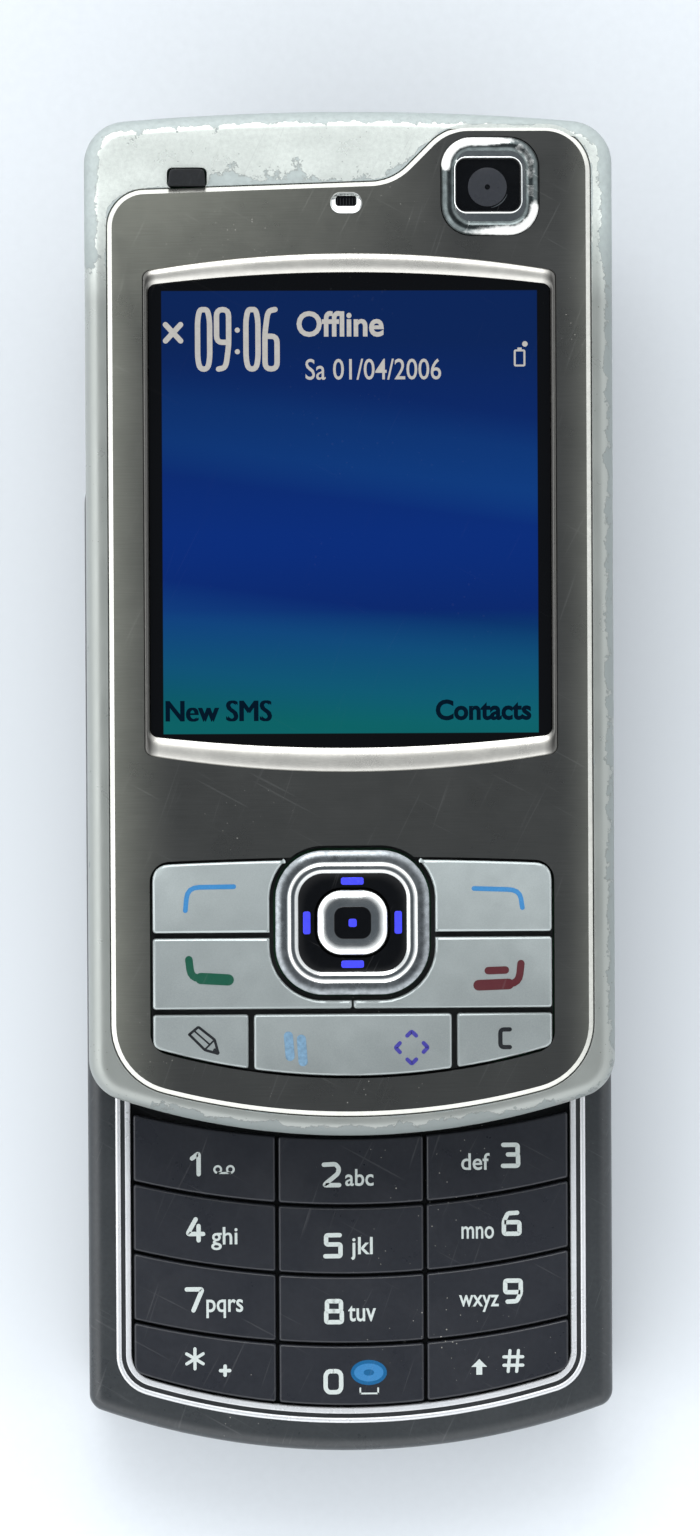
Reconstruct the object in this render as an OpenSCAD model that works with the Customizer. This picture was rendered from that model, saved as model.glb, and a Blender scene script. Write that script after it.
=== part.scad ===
// Slider phone, lying on its back with the screen up and the slide open.
// +Y points to the phone's top, +X to its right, +Z out of the screen. Millimetres.
// The origin is on the table under the middle of the open phone.

/* [Halves] */
// Length of each half
case_len = 95.4; // [92:0.2:100]
// Width of the lower half
base_w = 50; // [49.4:0.1:52]
// Thickness of the lower half
base_h = 12.8; // [12.6:0.1:13.4]
// Width of the upper half
slider_w = 48.6; // [48:0.1:49.2]
// Thickness of the upper half, from its underside to the top of its frame
slider_h = 9.2; // [9:0.1:10]
// Distance that the upper half slides
travel = 31; // [28:0.5:31]
// Gap between the two halves
slide_gap = 0.4; // [0.35:0.05:0.6]
// Radius of the gently curved top ends
top_bow = 250; // [200:10:400]
// Radius of the curved bottom end of the lower half
base_bow = 72; // [68:1:90]
// Radius of the curved bottom end of the upper half
slider_bow = 69; // [66:1:90]
// Corner radius of the upper half, and of the lower half's top
corner_r = 4; // [3:0.1:4.5]
// Corner radius at the lower half's bottom
base_corner_r = 2; // [1.6:0.1:3]
// Height of the lower half's back casing, up to the parting line
split_h = 7; // [6.9:0.1:7.2]
// Thickness of the outer walls
wall = 1.4; // [1.2:0.1:1.6]
// Edge rounding of the lower half's back
back_round = 2.6; // [2:0.1:2.8]
// Edge rounding of the lower half's front
deck_round = 0.9; // [0.6:0.1:1]
// Edge rounding of the upper half's front
frame_round = 1.9; // [1.4:0.1:2]

/* [Slide] */
// Width of the steel plate that the rails run on
rail_plate_w = 36; // [34:0.5:36.5]
// Thickness of that plate
rail_plate_t = 0.8; // [0.6:0.1:0.9]
// Thickness of the two steel rails
rail_t = 0.6; // [0.5:0.05:0.7]
// Length of the two rails
rail_len = 25; // [20:0.5:25]
// Running clearance of the rails
rail_clear = 0.15; // [0.12:0.01:0.2]
// Reach of the rails' hooks under the plate
rail_hook = 0.8; // [0.5:0.1:1]
// Wire thickness of the spring that helps the slide along
spring_wire = 0.5; // [0.4:0.05:0.55]

/* [Number keys] */
// Width of the field of number keys
pad_w = 41.6; // [41:0.1:42]
// Bottom of the key field, from the middle of the lower half
pad_bottom = 43.3; // [43:0.1:43.6]
// Radius of the arcs between the key rows
row_bow = 89; // [80:1:120]
// Distance from row to row
row_pitch = 6.6; // [6.4:0.05:6.7]
// Height of the lowest row
last_row_h = 5.9; // [5.6:0.1:6.2]
// Width of the middle column
mid_col_w = 14.1; // [13.5:0.1:14.6]
// Gap between keys
key_gap = 0.28; // [0.24:0.01:0.34]
// Thickness of a number key
key_t = 1.2; // [1.1:0.05:1.3]
// Rise of the number keys above the deck
key_rise = 0.1; // [0.05:0.01:0.12]
// Free space under every key
key_float = 0.35; // [0.33:0.01:0.4]
// Width of the metal trim around the number keys
trim_w = 1.4; // [1.2:0.05:1.5]
// Depth of that trim
trim_t = 0.9; // [0.7:0.05:1]

/* [Upper face] */
// Width of the dark face plate
plate_w = 44.8; // [44.4:0.1:45]
// Thickness of the face plate
plate_t = 0.9; // [0.8:0.05:1]
// Rise of the face plate above the frame
plate_rise = 0.2; // [0.1:0.05:0.3]
// Corner radius at the bottom of the face plate
plate_corner_r = 6.5; // [5:0.5:7]
// Width of the window, inside its metal rim
window_w = 37.4; // [37:0.1:37.8]
// Width of the window's metal rim
rim_w = 0.45; // [0.35:0.05:0.55]
// Thickness of the window
window_t = 0.6; // [0.5:0.05:0.7]
// Width of the picture area
lcd_w = 34.8; // [34:0.1:35]
// Length of the picture area
lcd_len = 41; // [40:0.1:41.4]
// Thickness of the display
lcd_t = 3.2; // [2.6:0.1:3.4]
// Side of the raised camera surround
pod_side = 9.1; // [8.6:0.1:9.3]
// Rise of the camera surround above the face plate
pod_rise = 0.5; // [0.3:0.05:0.6]
// Width of the camera's own window
lens_w = 5.8; // [5.4:0.1:6]
// Height of the camera's own window
lens_h = 4.7; // [4.4:0.1:5]

/* [Upper keys] */
// Width of the field of upper keys
field_w = 37.6; // [37:0.1:37.8]
// Top of the upper keys, below the middle of the upper half
field_top = 21.6; // [21.4:0.1:21.8]
// Bottom of the upper keys, below the middle of the upper half
field_bottom = 42.2; // [42:0.1:42.4]
// Radius of the arc under the upper keys
field_bow = 65; // [60:1:80]
// Width of the navigation ring
ring_w = 14.3; // [14:0.1:14.5]
// Height of the navigation ring
ring_h = 13.4; // [13:0.1:13.6]
// Corner radius of the navigation ring
ring_r = 4.5; // [4:0.1:5]
// Width of the select key
select_w = 6.8; // [6.4:0.1:7]
// Height of the select key
select_h = 6.25; // [6:0.05:6.4]
// Height of the soft key row
soft_row_h = 6.55; // [6.4:0.05:6.6]
// Height of the call key row
call_row_h = 6.6; // [6.5:0.05:6.7]
// Gap around the upper keys
cap_gap = 0.25; // [0.2:0.01:0.3]
// Thickness of an upper key
cap_t = 1.35; // [1.2:0.05:1.4]
// Rise of the upper keys above the face plate
cap_rise = 0.15; // [0.05:0.05:0.2]
// Rise of the navigation ring above the face plate
ring_rise = 0.5; // [0.4:0.05:0.6]
// Width of the rocker in the lowest row
rocker_w = 18.4; // [17.5:0.1:19]
// Radius of the pivots of the navigation ring and the rocker
pivot_r = 0.3; // [0.25:0.01:0.3]

/* [Back and inside] */
// Width of the battery cover
cover_w = 43; // [41:0.5:43.5]
// Thickness of the battery cover
cover_t = 0.9; // [0.8:0.05:1]
// Top end of the battery cover, above the middle of the lower half
cover_top = 16; // [15.8:0.1:16.4]
// Width of the battery
battery_w = 34; // [32:0.5:34.5]
// Length of the battery
battery_len = 51; // [46:0.5:51.5]
// Thickness of the battery
battery_t = 4.6; // [4:0.1:4.7]
// Thickness of the circuit boards
board_t = 0.8; // [0.6:0.1:0.9]
// Height of the back camera above the middle of the lower half
camera_y = 33; // [32.5:0.1:33.5]
// Outer radius of the close-up lever's ring
lever_r = 6.2; // [6:0.1:6.4]
// Swing of the close-up lever, in degrees
lever_swing = 35; // [20:1:40]
// Radius of the vibration motor
motor_r = 2; // [1.8:0.1:2.1]
// Length of the card door
door_len = 14; // [12:0.5:14.5]
// Height of the card door
door_h = 3.4; // [3:0.1:3.4]

/* [Hidden] */
$fn = 48;
eps = 0.01;
layer = 0.04;                             // thickness of the slices that a rounded body is stretched over
seat = 0.1;                               // clearance of a piece that sits in a recess
base_y = -travel / 2;                     // middle of the lower half
slider_y = travel / 2;                    // middle of the upper half
slider_z = base_h + slide_gap;            // underside of the upper half
inset_rim = wall + 0.3;                   // room between boards and outer walls
bay_gap = 0.3;                            // around the battery
bay_top = cover_top - 1.8;
socket_room = 7.2;                        // from the battery bay down to the sockets' seat
bottom_end = 3.1;                         // thickness of the bottom end by the sockets
half = max(case_len / 2, battery_len + 2 * bay_gap - bay_top + socket_room + bottom_end);
boss_r = 1.9;                             // round the case's screws

// lower half, heights
plate_z = base_h - rail_plate_t;          // underside of the rail plate
hook_top = plate_z - rail_clear;
hook_bottom = hook_top - rail_t + 0.1;
channel_z = hook_bottom - rail_clear;     // floor of the channels for the hooks
deck_under = channel_z - 0.8;             // inner ceiling below the slide
key_top = base_h + key_rise;
key_z = key_top - key_t;
mat_t = 0.6;
mat_z = key_z - key_float - mat_t;
dome_h = 0.25;
dome_r = 2;
pad_board_z = mat_z - board_t;
board_z = split_h;
floor_t = 1.6;                            // floor of the back casing by the camera
rail_wall_x = rail_plate_w / 2 + 0.2;     // inner side of the rails' upright walls
rail_out_x = rail_wall_x + rail_t;
channel_in_x = rail_plate_w / 2 - rail_hook - 0.2;
channel_out_x = rail_out_x + 0.3;
rail_in_x = 12.6;
channel_start = rail_len / 2 + 0.7;       // below the middle of the lower half
channel_end = travel + rail_len / 2 + 0.7;
trim_clear = 0.15;                        // gap between the keys and the trim
trim_in_w = pad_w + 2 * trim_clear;
trim_out_w = trim_in_w + 2 * trim_w;
pad_corner = 2.4;
trim_start = 14.2;                        // upper ends of the trim, under the upper half
pad_bow = 66;
rows_y = [for (row = [0:4]) row == 0 ? -pad_bottom : -pad_bottom + last_row_h + (row - 1) * row_pitch];
col_x = [-pad_w / 2, -mid_col_w / 2, mid_col_w / 2, pad_w / 2];

// upper half, heights above its underside
back_t = 1.4;
ledge_z = slider_h + plate_rise - plate_t;   // ledge that carries the face plate
deck_z = ledge_z - 0.6;                      // inner ceiling of the frame
cap_top = slider_h + plate_rise + cap_rise;
cap_z = cap_top - cap_t;
switch_top = cap_z - key_float;
switch_h = 0.35;
key_board_z = switch_top - switch_h - board_t;
frame_wall = 1.5;
ring_top = slider_h + plate_rise + ring_rise;
ring_t = 1.15;
ring_z = ring_top - ring_t;
cradle_t = 0.4;
pivot_z = ring_z - 0.4;
pivot_clear = 0.03;
select_top = ring_top + 0.2;
select_t = 1.1;
nav_y = -27.7;
ring_gap = 0.45;
cradle_x = 5;
cradle_y = 4.9;
bearing_near = 0.5;                       // from the cradle's side to its bearings
bearing_t = 0.8;
pocket_x = 12;                            // pocket for the spring and the flex, both ways from the middle
pocket_y = travel / 2 + 1.6;
spring_x = 7;                             // posts of the spring, both ways from the middle
spring_post_r = 0.6;
spring_eye_r = 0.95;
spring_coil_r = 2.6;
flex_x = 8.6;                             // left edge of the ribbon
flex_w = 2.8;
flex_room = 0.2;                          // on each side of it
flex_up = 9.4;                            // slot into the upper half, below its middle
rail_screw_x = 15.6;
rail_screw_y = 9;
rail_screw_r = 0.5;
rail_head_r = 1.2;
pocket_t = 0.75;
soft_bottom = -field_top - 0.45 - soft_row_h;
call_top = soft_bottom - 0.5;
call_bottom = call_top - call_row_h;
low_top = call_bottom - 0.5;

// upper half, places on the face
face_top = 46.1;
face_left_top = 41;
face_left_drop = 0.7;
bend_r = 5;
bend_x = 1.9;
face_corner_r = 4.2;
face_left_r = 3.5;
window_top = 32.65;
window_bottom = -11.5;
window_bow = 152;
rim_bow = 112;                            // outer edges of the rim's crescents
window_r = 0.8;
crescent_top = 1.75;                      // width of the rim's crescent above the window
crescent_bottom = 2.2;                    // and of the one below it
lcd_y = 10.4;
pod_x = 13.1;
pod_y = 40.55;
pod_corner = 2.8;
ear_y = 39.05;
ear_w = 1.7;
ear_h = 0.85;
power_x = -15;
power_w = 3.4;
power_h = 1.5;
power_y = face_left_top + 0.75;
display_side = 2;                         // of the display beyond its picture
display_low = 3;                          // below the picture, where its cable leaves
upper_board_w = 40;
upper_board_edge = 1.3;                   // of the key board beyond the keys, above and below
soft_switch = [14.5, 25];
call_switch = [14, 32.4];
low_switch = [14, 38.4];
rocker_switch = [6, 39];
nav_switch = 4;
switch_r = 1.1;
fulcrum_len = 3.2;                        // under the rocker
post_x = 17.5;
post_r = 1.2;
rib_x = 16;
rib_t = 1.6;
rib_len = 38;
ear_speaker_w = 10;
ear_speaker_h = 4.4;
front_camera_w = 6.4;
front_lens_r = 2.1;

// back of the lower half
bay_w = battery_w + 2 * bay_gap;
bay_bottom = bay_top - battery_len - 2 * bay_gap;
bay_web = 0.6;
battery_z = cover_t + 0.2;
tongue_w = 0.6;
tongue_t = 0.35;
tongue_z = 0.5;
lens_hole_r = 3.4;
glass_r = 3.9;
lever_in_r = glass_r + 0.2;
lever_t = 0.7;
lever_z = 0.2;
lever_floor = lever_z + lever_t + 0.05;
lever_tab_r = lever_r + 2;
lever_start = -17.5;
motor_x = -15;
motor_len = 9;
motor_y = 42.3;
motor_z = 4.3;
shaft_r = 0.4;
shaft_clear = 0.05;
weight_len = 2.4;
weight_gap = 0.6;
door_z = 3;
door_top_y = 36.3;
door_t = 0.9;
door_pin_r = 0.3;
door_knuckle_r = 0.55;
door_pin_reach = 0.3;
release_y = 20.4;
release_w = 8;
release_h = 2.6;
speaker_x = 13.6;
speaker_w = 9;
speaker_h = 11;
slot_pitch = 2;
slot_h = 0.8;
flash_x = -9.5;
flash_r = 1.6;
contact_pitch = 3;
contact_w = 1.6;
sim_w = 16;
sim_len = 14;
sim_y = -3;
sim_t = 0.9;
card_socket_h = 3.6;
card_socket_reach = 14.6;                 // into the phone, behind the card door
shield_w = 30;
shield_t = 1.2;
shield_y = 11;
camera_body = 9.2;
shutter_y = 14;
shutter_len = 8;
shutter_h = 2.4;
shutter_z = 8.6;
port_y = -half + bottom_end;              // inner face of the bottom end
jack_x = 12;
jack_z = 4.5;
jack_r = 1.15;
port_x = -2;
port_w = 13;
port_h = 2.6;
screw_x = base_w / 2 - 5;
screw_ys = [20.5, 41.2];
screw_head_r = 1.5;
screw_r = 0.7;
screw_seat = 1.7;                         // depth of the screws' recesses in the back

// ---------------------------------------------------------------- outlines

// Points on an arc about c, from angle a0 to a1.
function arc(c, r, a0, a1, steps) =
    [for (i = [0:steps]) let (a = a0 + (a1 - a0) * i / steps) c + r * [cos(a), sin(a)]];

// One curved end: a corner, the bowed edge, the other corner, from right to left.
function bowed_end(w, y, bow, r) =
    let (x = w / 2 - r, dy = sqrt(pow(bow - r, 2) - x * x), a = atan2(dy, x))
    concat(arc([x, y - bow + dy], r, 0, a, 4),
        arc([0, y - bow], bow, a, 180 - a, 8),
        arc([-x, y - bow + dy], r, 180 - a, 180, 4));

// A closed outline with straight sides, a bowed end at y1 and another at -y0.
function bowed_outline(w, y1, bow1, r1, y0, bow0, r0) =
    let (low = bowed_end(w, y0, bow0, r0))
    concat(bowed_end(w, y1, bow1, r1), [for (i = [len(low) - 1:-1:0]) [low[i].x, -low[i].y]]);

// How far an arc of radius bow has risen at x.
function rise(x, bow) = bow - sqrt(bow * bow - x * x);

function round_box(w, h, r) = concat(
    arc([w / 2 - r, h / 2 - r], r, 0, 90, 5), arc([r - w / 2, h / 2 - r], r, 90, 180, 5),
    arc([r - w / 2, r - h / 2], r, 180, 270, 5), arc([w / 2 - r, r - h / 2], r, 270, 360, 5));

module base_plan(inset = 0) {
    polygon(bowed_outline(base_w - 2 * inset, half - inset, top_bow - inset, max(corner_r - inset, 0.3),
        half - inset, base_bow - inset, max(base_corner_r - inset, 0.3)));
}

module slider_plan(inset = 0) {
    polygon(bowed_outline(slider_w - 2 * inset, half - inset, top_bow - inset, max(corner_r - inset, 0.3),
        half - inset, slider_bow - inset, max(corner_r - inset, 0.3)));
}

// The face plate: low at the left, stepping up in an S to go round the camera.
module face_plan(outset = 0) {
    x = plate_w / 2;
    y0 = half - 2;
    low = bowed_end(plate_w, y0, slider_bow, plate_corner_r);
    step_y = face_left_top + bend_r * (1 - cos(45));
    high_x = bend_x + 2 * bend_r * sin(45) + (face_top - face_left_top - 2 * bend_r * (1 - cos(45)));
    offset(delta = outset) polygon(concat(
        arc([x - face_corner_r, face_top - face_corner_r], face_corner_r, 0, 90, 6),
        arc([high_x, face_top - bend_r], bend_r, 90, 135, 4),
        [for (i = [4:-1:0]) let (a = -90 + 45 * i / 4)
            [bend_x, face_left_top + bend_r] + bend_r * [cos(a), sin(a)]],
        arc([face_left_r - x, face_left_top - face_left_drop - face_left_r], face_left_r, 90, 180, 5),
        [for (i = [len(low) - 1:-1:0]) [low[i].x, -low[i].y]]));
}

// The field of number keys, with its rounded lower corners.
module pad_plan(outset = 0) {
    polygon(concat([[pad_w / 2 + outset, -channel_start], [-pad_w / 2 - outset, -channel_start]],
        [for (p = pad_end(outset)) p]));
}
function pad_end(outset) =
    let (low = bowed_end(pad_w + 2 * outset, pad_bottom + outset, pad_bow + outset, pad_corner + outset))
    [for (i = [len(low) - 1:-1:0]) [low[i].x, -low[i].y]];

// The field of upper keys, with the bump round the navigation ring.
module field_plan(inset = 0) {
    mid = (field_bottom + field_top) / 2;
    reach = (field_bottom - field_top) / 2 - inset;
    translate([0, -mid])
        polygon(bowed_outline(field_w - 2 * inset, reach, 400, 1.9, reach, field_bow, 2));
    nav_plan(ring_gap - inset);
}

module nav_plan(outset = 0) {
    translate([0, nav_y])
        polygon(round_box(ring_w + 2 * outset, ring_h + 2 * outset, ring_r + outset));
}

module window_plan(outset = 0, top_extra = 0, bottom_extra = 0) {
    mid = (window_top + top_extra + window_bottom - bottom_extra) / 2;
    reach = (window_top + top_extra - window_bottom + bottom_extra) / 2;
    bow = top_extra > 0 ? rim_bow : window_bow;
    translate([0, mid])
        polygon(bowed_outline(window_w + 2 * outset, reach, bow, window_r, reach, bow, window_r));
}

module at_base() { translate([0, base_y, 0]) children(); }
module at_slider() { translate([0, slider_y, slider_z]) children(); }
module slab(z0, z1) { translate([0, 0, z0]) linear_extrude(z1 - z0) children(); }
module block(x0, x1, y0, y1, z0, z1) { translate([x0, y0, z0]) cube([x1 - x0, y1 - y0, z1 - z0]); }
module rod(p, r, h) { translate(p) cylinder(r = r, h = h); }
module both_sides() { children(); mirror([1, 0, 0]) children(); }
// A cap with a stepped-in top edge.
module cap(z0, z1, step = 0.25) {
    slab(z0, z1 - step) children();
    slab(z0 + step, z1) offset(delta = -step) children();
}

// ---------------------------------------------------------------- lower half

// The outer body of the back casing, rounded round its back edge.
module base_back_body() {
    hull() {
        for (a = [90, 60, 30])
            slab(back_round * (1 - sin(a)), back_round * (1 - sin(a)) + layer)
                base_plan(back_round * (1 - cos(a)));
        slab(back_round, split_h) base_plan();
    }
}

module base_front_body() {
    hull() {
        slab(split_h, base_h - deck_round) base_plan();
        for (a = [90, 45])
            slab(base_h - deck_round * (1 - sin(a)) - layer, base_h - deck_round * (1 - sin(a)))
                base_plan(deck_round * (1 - cos(a)));
    }
}

// The slot that the ribbon passes through.
module flex_slot(y0, y1, z0, z1) { block(flex_x - flex_room, flex_x + flex_w + flex_room, y0, y1, z0, z1); }
module base_front_cover() {
    color("dimgray") at_base() difference() {
        base_front_body();
        difference() {
            slab(split_h - 1, base_h - 1) base_plan(wall);
            block(-base_w, base_w, -trim_start, half, deck_under, base_h);
            for (x = [-screw_x, screw_x], y = screw_ys)
                rod([x, y, split_h + board_t], boss_r - 0.2, base_h);
        }
        // keys, trim and what lies under them
        slab(pad_board_z, base_h + 1) intersection() {
            pad_plan(trim_clear + 0.3);
            translate([-base_w / 2, -half]) square([base_w, half - trim_start + 0.6]);
        }
        slab(base_h - trim_t, base_h + 1) intersection() {
            pad_plan(trim_clear + trim_w + 0.05);
            translate([-base_w / 2, -half]) square([base_w, half - trim_start]);
        }
        // the slide
        block(-rail_plate_w / 2 - seat, rail_plate_w / 2 + seat, -channel_start + 0.3,
            channel_end + 0.4, plate_z, base_h + 1);
        both_sides() block(channel_in_x, channel_out_x, -channel_start, channel_end, channel_z, base_h + 1);
        flex_slot(slider_y - 1, slider_y + 0.5, deck_under - 1, base_h + 1);
        for (x = [-screw_x, screw_x], y = screw_ys) rod([x, y, split_h], screw_r, deck_under - split_h - 1);
        // side key
        block(base_w / 2 - wall - 1, base_w / 2 + 1, shutter_y - shutter_len / 2 - seat,
            shutter_y + shutter_len / 2 + seat, shutter_z - shutter_h / 2 - seat, shutter_z + shutter_h / 2 + seat);
    }
}

module base_rear_cover() {
    color("darkslategray") at_base() difference() {
        union() {
            difference() {
                base_back_body();
                // room by the camera, beside the battery and at the bottom
                difference() {
                    slab(floor_t, split_h + 1) base_plan(wall);
                    block(-base_w, base_w, -half, bay_top + 2.4, 0, split_h + 1);
                }
                both_sides() block(bay_w / 2 + 0.8, base_w / 2 - wall, bay_bottom, bay_top, 2.2, split_h + 1);
                block(-18, 18, port_y, bay_bottom - 1, 2.2, split_h + 1);
            }
            for (x = [-screw_x, screw_x], y = screw_ys) rod([x, y, floor_t - eps], boss_r, split_h - floor_t + eps);
            difference() {
                block(motor_x + 1, motor_x + motor_len - 1, motor_y - motor_r, motor_y + motor_r,
                    floor_t - eps, motor_z - 1.2);
                translate([motor_x - 1, motor_y, motor_z]) rotate([0, 90, 0])
                    cylinder(r = motor_r + 0.05, h = motor_len + 2);
            }
        }
        // battery bay, its contacts and the card holder's window
        block(-bay_w / 2, bay_w / 2, bay_bottom, bay_top, -1, split_h - bay_web);
        block(-2 * contact_pitch - 0.2, 2 * contact_pitch + 0.2, bay_top - 1, bay_top + 1.7, 2, split_h + 1);
        block(-sim_w / 2 - 0.2, sim_w / 2 + 0.2, sim_y - sim_len / 2 - 0.2, sim_y + sim_len / 2 + 0.2, 2, split_h + 1);
        // battery cover
        block(-cover_w / 2 - seat, cover_w / 2 + seat, -half - 1, cover_top + seat, -1, cover_t + seat);
        block(-cover_w / 2 - tongue_w - seat, cover_w / 2 + tongue_w + seat, -half - 1, cover_top + seat,
            tongue_z - seat, cover_t + seat);
        // camera, close-up lever and flash
        translate([0, camera_y, -1]) {
            cylinder(r = lever_r + 0.15, h = 1 + lever_floor);
            cylinder(r = lens_hole_r, h = 1 + floor_t + 1);
            rotate(lever_start - 12) rotate_extrude(angle = lever_swing + 24)
                translate([lever_r - 1, 0]) square([lever_tab_r + 0.2 - lever_r + 1, 1 + lever_floor]);
        }
        rod([flash_x, camera_y, -1], flash_r + seat, 4);
        // loudspeaker slots and the cover's release button
        for (i = [-2:2]) block(speaker_x - speaker_w / 2 + 0.5, speaker_x + speaker_w / 2 - 0.5,
            camera_y + i * slot_pitch - slot_h / 2, camera_y + i * slot_pitch + slot_h / 2, -1, floor_t + 1);
        slab(-1, floor_t + 1) translate([0, release_y])
            polygon(round_box(release_w + 2 * seat, release_h + 2 * seat, 1.2));
        for (x = [-screw_x, screw_x], y = screw_ys) {
            rod([x, y, -1], screw_r + 0.1, split_h + 2);
            rod([x, y, -1], screw_head_r + 0.1, 1 + screw_seat);
        }
        // sockets in the bottom end
        translate([jack_x, -half - 1, jack_z]) rotate([-90, 0, 0]) cylinder(r = jack_r, h = 6);
        block(port_x - port_w / 2, port_x + port_w / 2, -half - 1, port_y + 1,
            jack_z - port_h / 2, jack_z + port_h / 2);
        // card door
        translate([-base_w / 2, 0, door_z]) {
            block(-1, wall + 1, door_top_y - door_len - seat, door_top_y - door_knuckle_r, 0.3, door_h - 0.3);
            block(-1, door_t + seat, door_top_y - door_len - seat, door_top_y, -seat, door_h + seat);
            block(-1, 2 * door_knuckle_r + seat, door_top_y - 1, door_top_y + door_knuckle_r + seat,
                -seat, door_h + seat);
            rod([door_knuckle_r, door_top_y, -door_pin_reach - seat], door_pin_r + 0.04,
                door_h + 2 * door_pin_reach + 2 * seat);
        }
    }
}

module keypad_rim() {
    color("silver") at_base() slab(base_h - trim_t, base_h + 0.05) intersection() {
        difference() {
            pad_plan(trim_clear + trim_w);
            pad_plan(trim_clear);
        }
        translate([-base_w / 2, -half]) square([base_w, half - trim_start - seat]);
    }
}

// Outline of a number key, between two arcs and two columns.
module key_plan(col, row) {
    x0 = col_x[col] + (col == 0 ? 0 : key_gap / 2);
    x1 = col_x[col + 1] - (col == 2 ? 0 : key_gap / 2);
    y0 = rows_y[row] + (row == 0 ? 0 : key_gap / 2);
    y1 = rows_y[row + 1] - key_gap / 2;
    bow = row == 0 ? pad_bow : row_bow;
    steps = 6;
    intersection() {
        polygon(concat(
            [for (i = [0:steps]) let (x = x0 + (x1 - x0) * i / steps) [x, y0 + rise(x, bow)]],
            [for (i = [steps:-1:0]) let (x = x0 + (x1 - x0) * i / steps) [x, y1 + rise(x, row_bow)]]));
        pad_plan();
    }
}
module number_key(col, row) {
    color("darkslategray") at_base() cap(key_z, key_top, 0.3) key_plan(col, row);
}
module key_1() { number_key(0, 3); }
module key_2() { number_key(1, 3); }
module key_3() { number_key(2, 3); }
module key_4() { number_key(0, 2); }
module key_5() { number_key(1, 2); }
module key_6() { number_key(2, 2); }
module key_7() { number_key(0, 1); }
module key_8() { number_key(1, 1); }
module key_9() { number_key(2, 1); }
module key_star() { number_key(0, 0); }
module key_0() { number_key(1, 0); }
module key_hash() { number_key(2, 0); }

// Middles of the twelve number keys, where their switches lie.
module at_keys() {
    for (col = [0:2], row = [0:3])
        let (x = (col_x[col] + col_x[col + 1]) / 2, y = (rows_y[row] + rows_y[row + 1]) / 2)
            translate([x, y + rise(x, row_bow)]) children();
}
module pad_stack_plan() {
    intersection() {
        pad_plan(0);
        translate([-base_w / 2, -half]) square([base_w, half - trim_start]);
    }
}
module keypad_mat() {
    color("white") at_base() difference() {
        slab(mat_z, mat_z + mat_t) pad_stack_plan();
        at_keys() translate([0, 0, mat_z - 1]) cylinder(r = dome_r + 0.2, h = 1 + dome_h + 0.1);
    }
}
module keypad_board() {
    color("green") at_base() {
        slab(pad_board_z, mat_z) pad_stack_plan();
        at_keys() translate([0, 0, mat_z - eps]) cylinder(r = dome_r, h = dome_h + eps);
    }
}

module main_board() {
    color("green") at_base() {
        difference() {
            slab(board_z, board_z + board_t) intersection() {
                base_plan(inset_rim);
                translate([-base_w / 2, port_y]) square([base_w, case_len]);
            }
            for (x = [-screw_x, screw_x], y = screw_ys) rod([x, y, board_z - 1], screw_r + 0.2, board_t + 2);
        }
        // card socket under the board, and the shield over the radio chips
        block(2.4 - base_w / 2, 2.4 - base_w / 2 + card_socket_reach, door_top_y - 13.4, door_top_y - 0.6,
            board_z - card_socket_h, board_z);
        block(-shield_w / 2 - 1, shield_w / 2 - 1, shield_y - shield_w / 2, shield_y + shield_w / 2,
            board_z + board_t, board_z + board_t + shield_t);
    }
}
module battery_contacts() {
    color("gold") at_base() for (i = [-1.5:1.5])
        block(i * contact_pitch - contact_w / 2, i * contact_pitch + contact_w / 2, bay_top + 0.1, bay_top + 1.5,
            2.5, board_z);
}
module sim_holder() {
    color("silver") at_base() difference() {
        block(-sim_w / 2, sim_w / 2, sim_y - sim_len / 2, sim_y + sim_len / 2, board_z - sim_t, board_z);
        block(-sim_w / 2 + 1.4, sim_w / 2 - 1.4, sim_y - sim_len / 2 - 2, sim_y + sim_len / 2 - 1.4,
            board_z - sim_t + 0.3, board_z - 0.3);
    }
}
module battery() {
    color("lightsteelblue") at_base()
        block(-battery_w / 2, battery_w / 2, bay_bottom + bay_gap, bay_top - bay_gap, battery_z,
            battery_z + battery_t);
}
module battery_cover() {
    color("darkslategray") at_base() {
        intersection() {
            base_back_body();
            block(-cover_w / 2, cover_w / 2, -half - 1, cover_top, -1, cover_t);
        }
        intersection() {
            base_back_body();
            both_sides() block(cover_w / 2 - 1, cover_w / 2 + tongue_w, -half + 8, cover_top,
                tongue_z, tongue_z + tongue_t);
        }
    }
}
module cover_release() {
    color("gray") at_base() slab(0.1, floor_t - 0.1) translate([0, release_y])
        polygon(round_box(release_w, release_h, 1.1));
}

module rear_camera() {
    color("dimgray") at_base() {
        block(-camera_body / 2, camera_body / 2, camera_y - camera_body / 2, camera_y + camera_body / 2,
            floor_t + 0.2, board_z);
        rod([0, camera_y, 1.1], lens_hole_r - 0.3, 1);
    }
}
module camera_windows() {
    color("lightcyan") at_base() {
        rod([0, camera_y, lever_z + 0.15], glass_r, lever_floor - lever_z - 0.15);
        rod([flash_x, camera_y, 0.2], flash_r, floor_t - 0.3);
    }
}
module macro_lever() {
    color("silver") at_base() translate([0, camera_y, lever_z]) difference() {
        union() {
            cylinder(r = lever_r, h = lever_t);
            rotate(lever_start) slab(0, lever_t)
                polygon([[0, -1.2], [lever_tab_r - 0.4, -1.2], [lever_tab_r, -0.8], [lever_tab_r, 0.8],
                    [lever_tab_r - 0.4, 1.2], [0, 1.2]]);
        }
        translate([0, 0, -1]) cylinder(r = lever_in_r, h = lever_t + 2);
    }
}
module loudspeaker() {
    color("black") at_base() block(speaker_x - speaker_w / 2, speaker_x + speaker_w / 2, camera_y - speaker_h / 2,
        camera_y + speaker_h / 2, floor_t, floor_t + 3.6);
}
module vibration_motor() {
    color("silver") at_base() translate([motor_x, motor_y, motor_z]) rotate([0, 90, 0]) {
        cylinder(r = motor_r, h = motor_len);
        cylinder(r = shaft_r, h = motor_len + weight_gap + weight_len + 0.3);
    }
}
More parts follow.
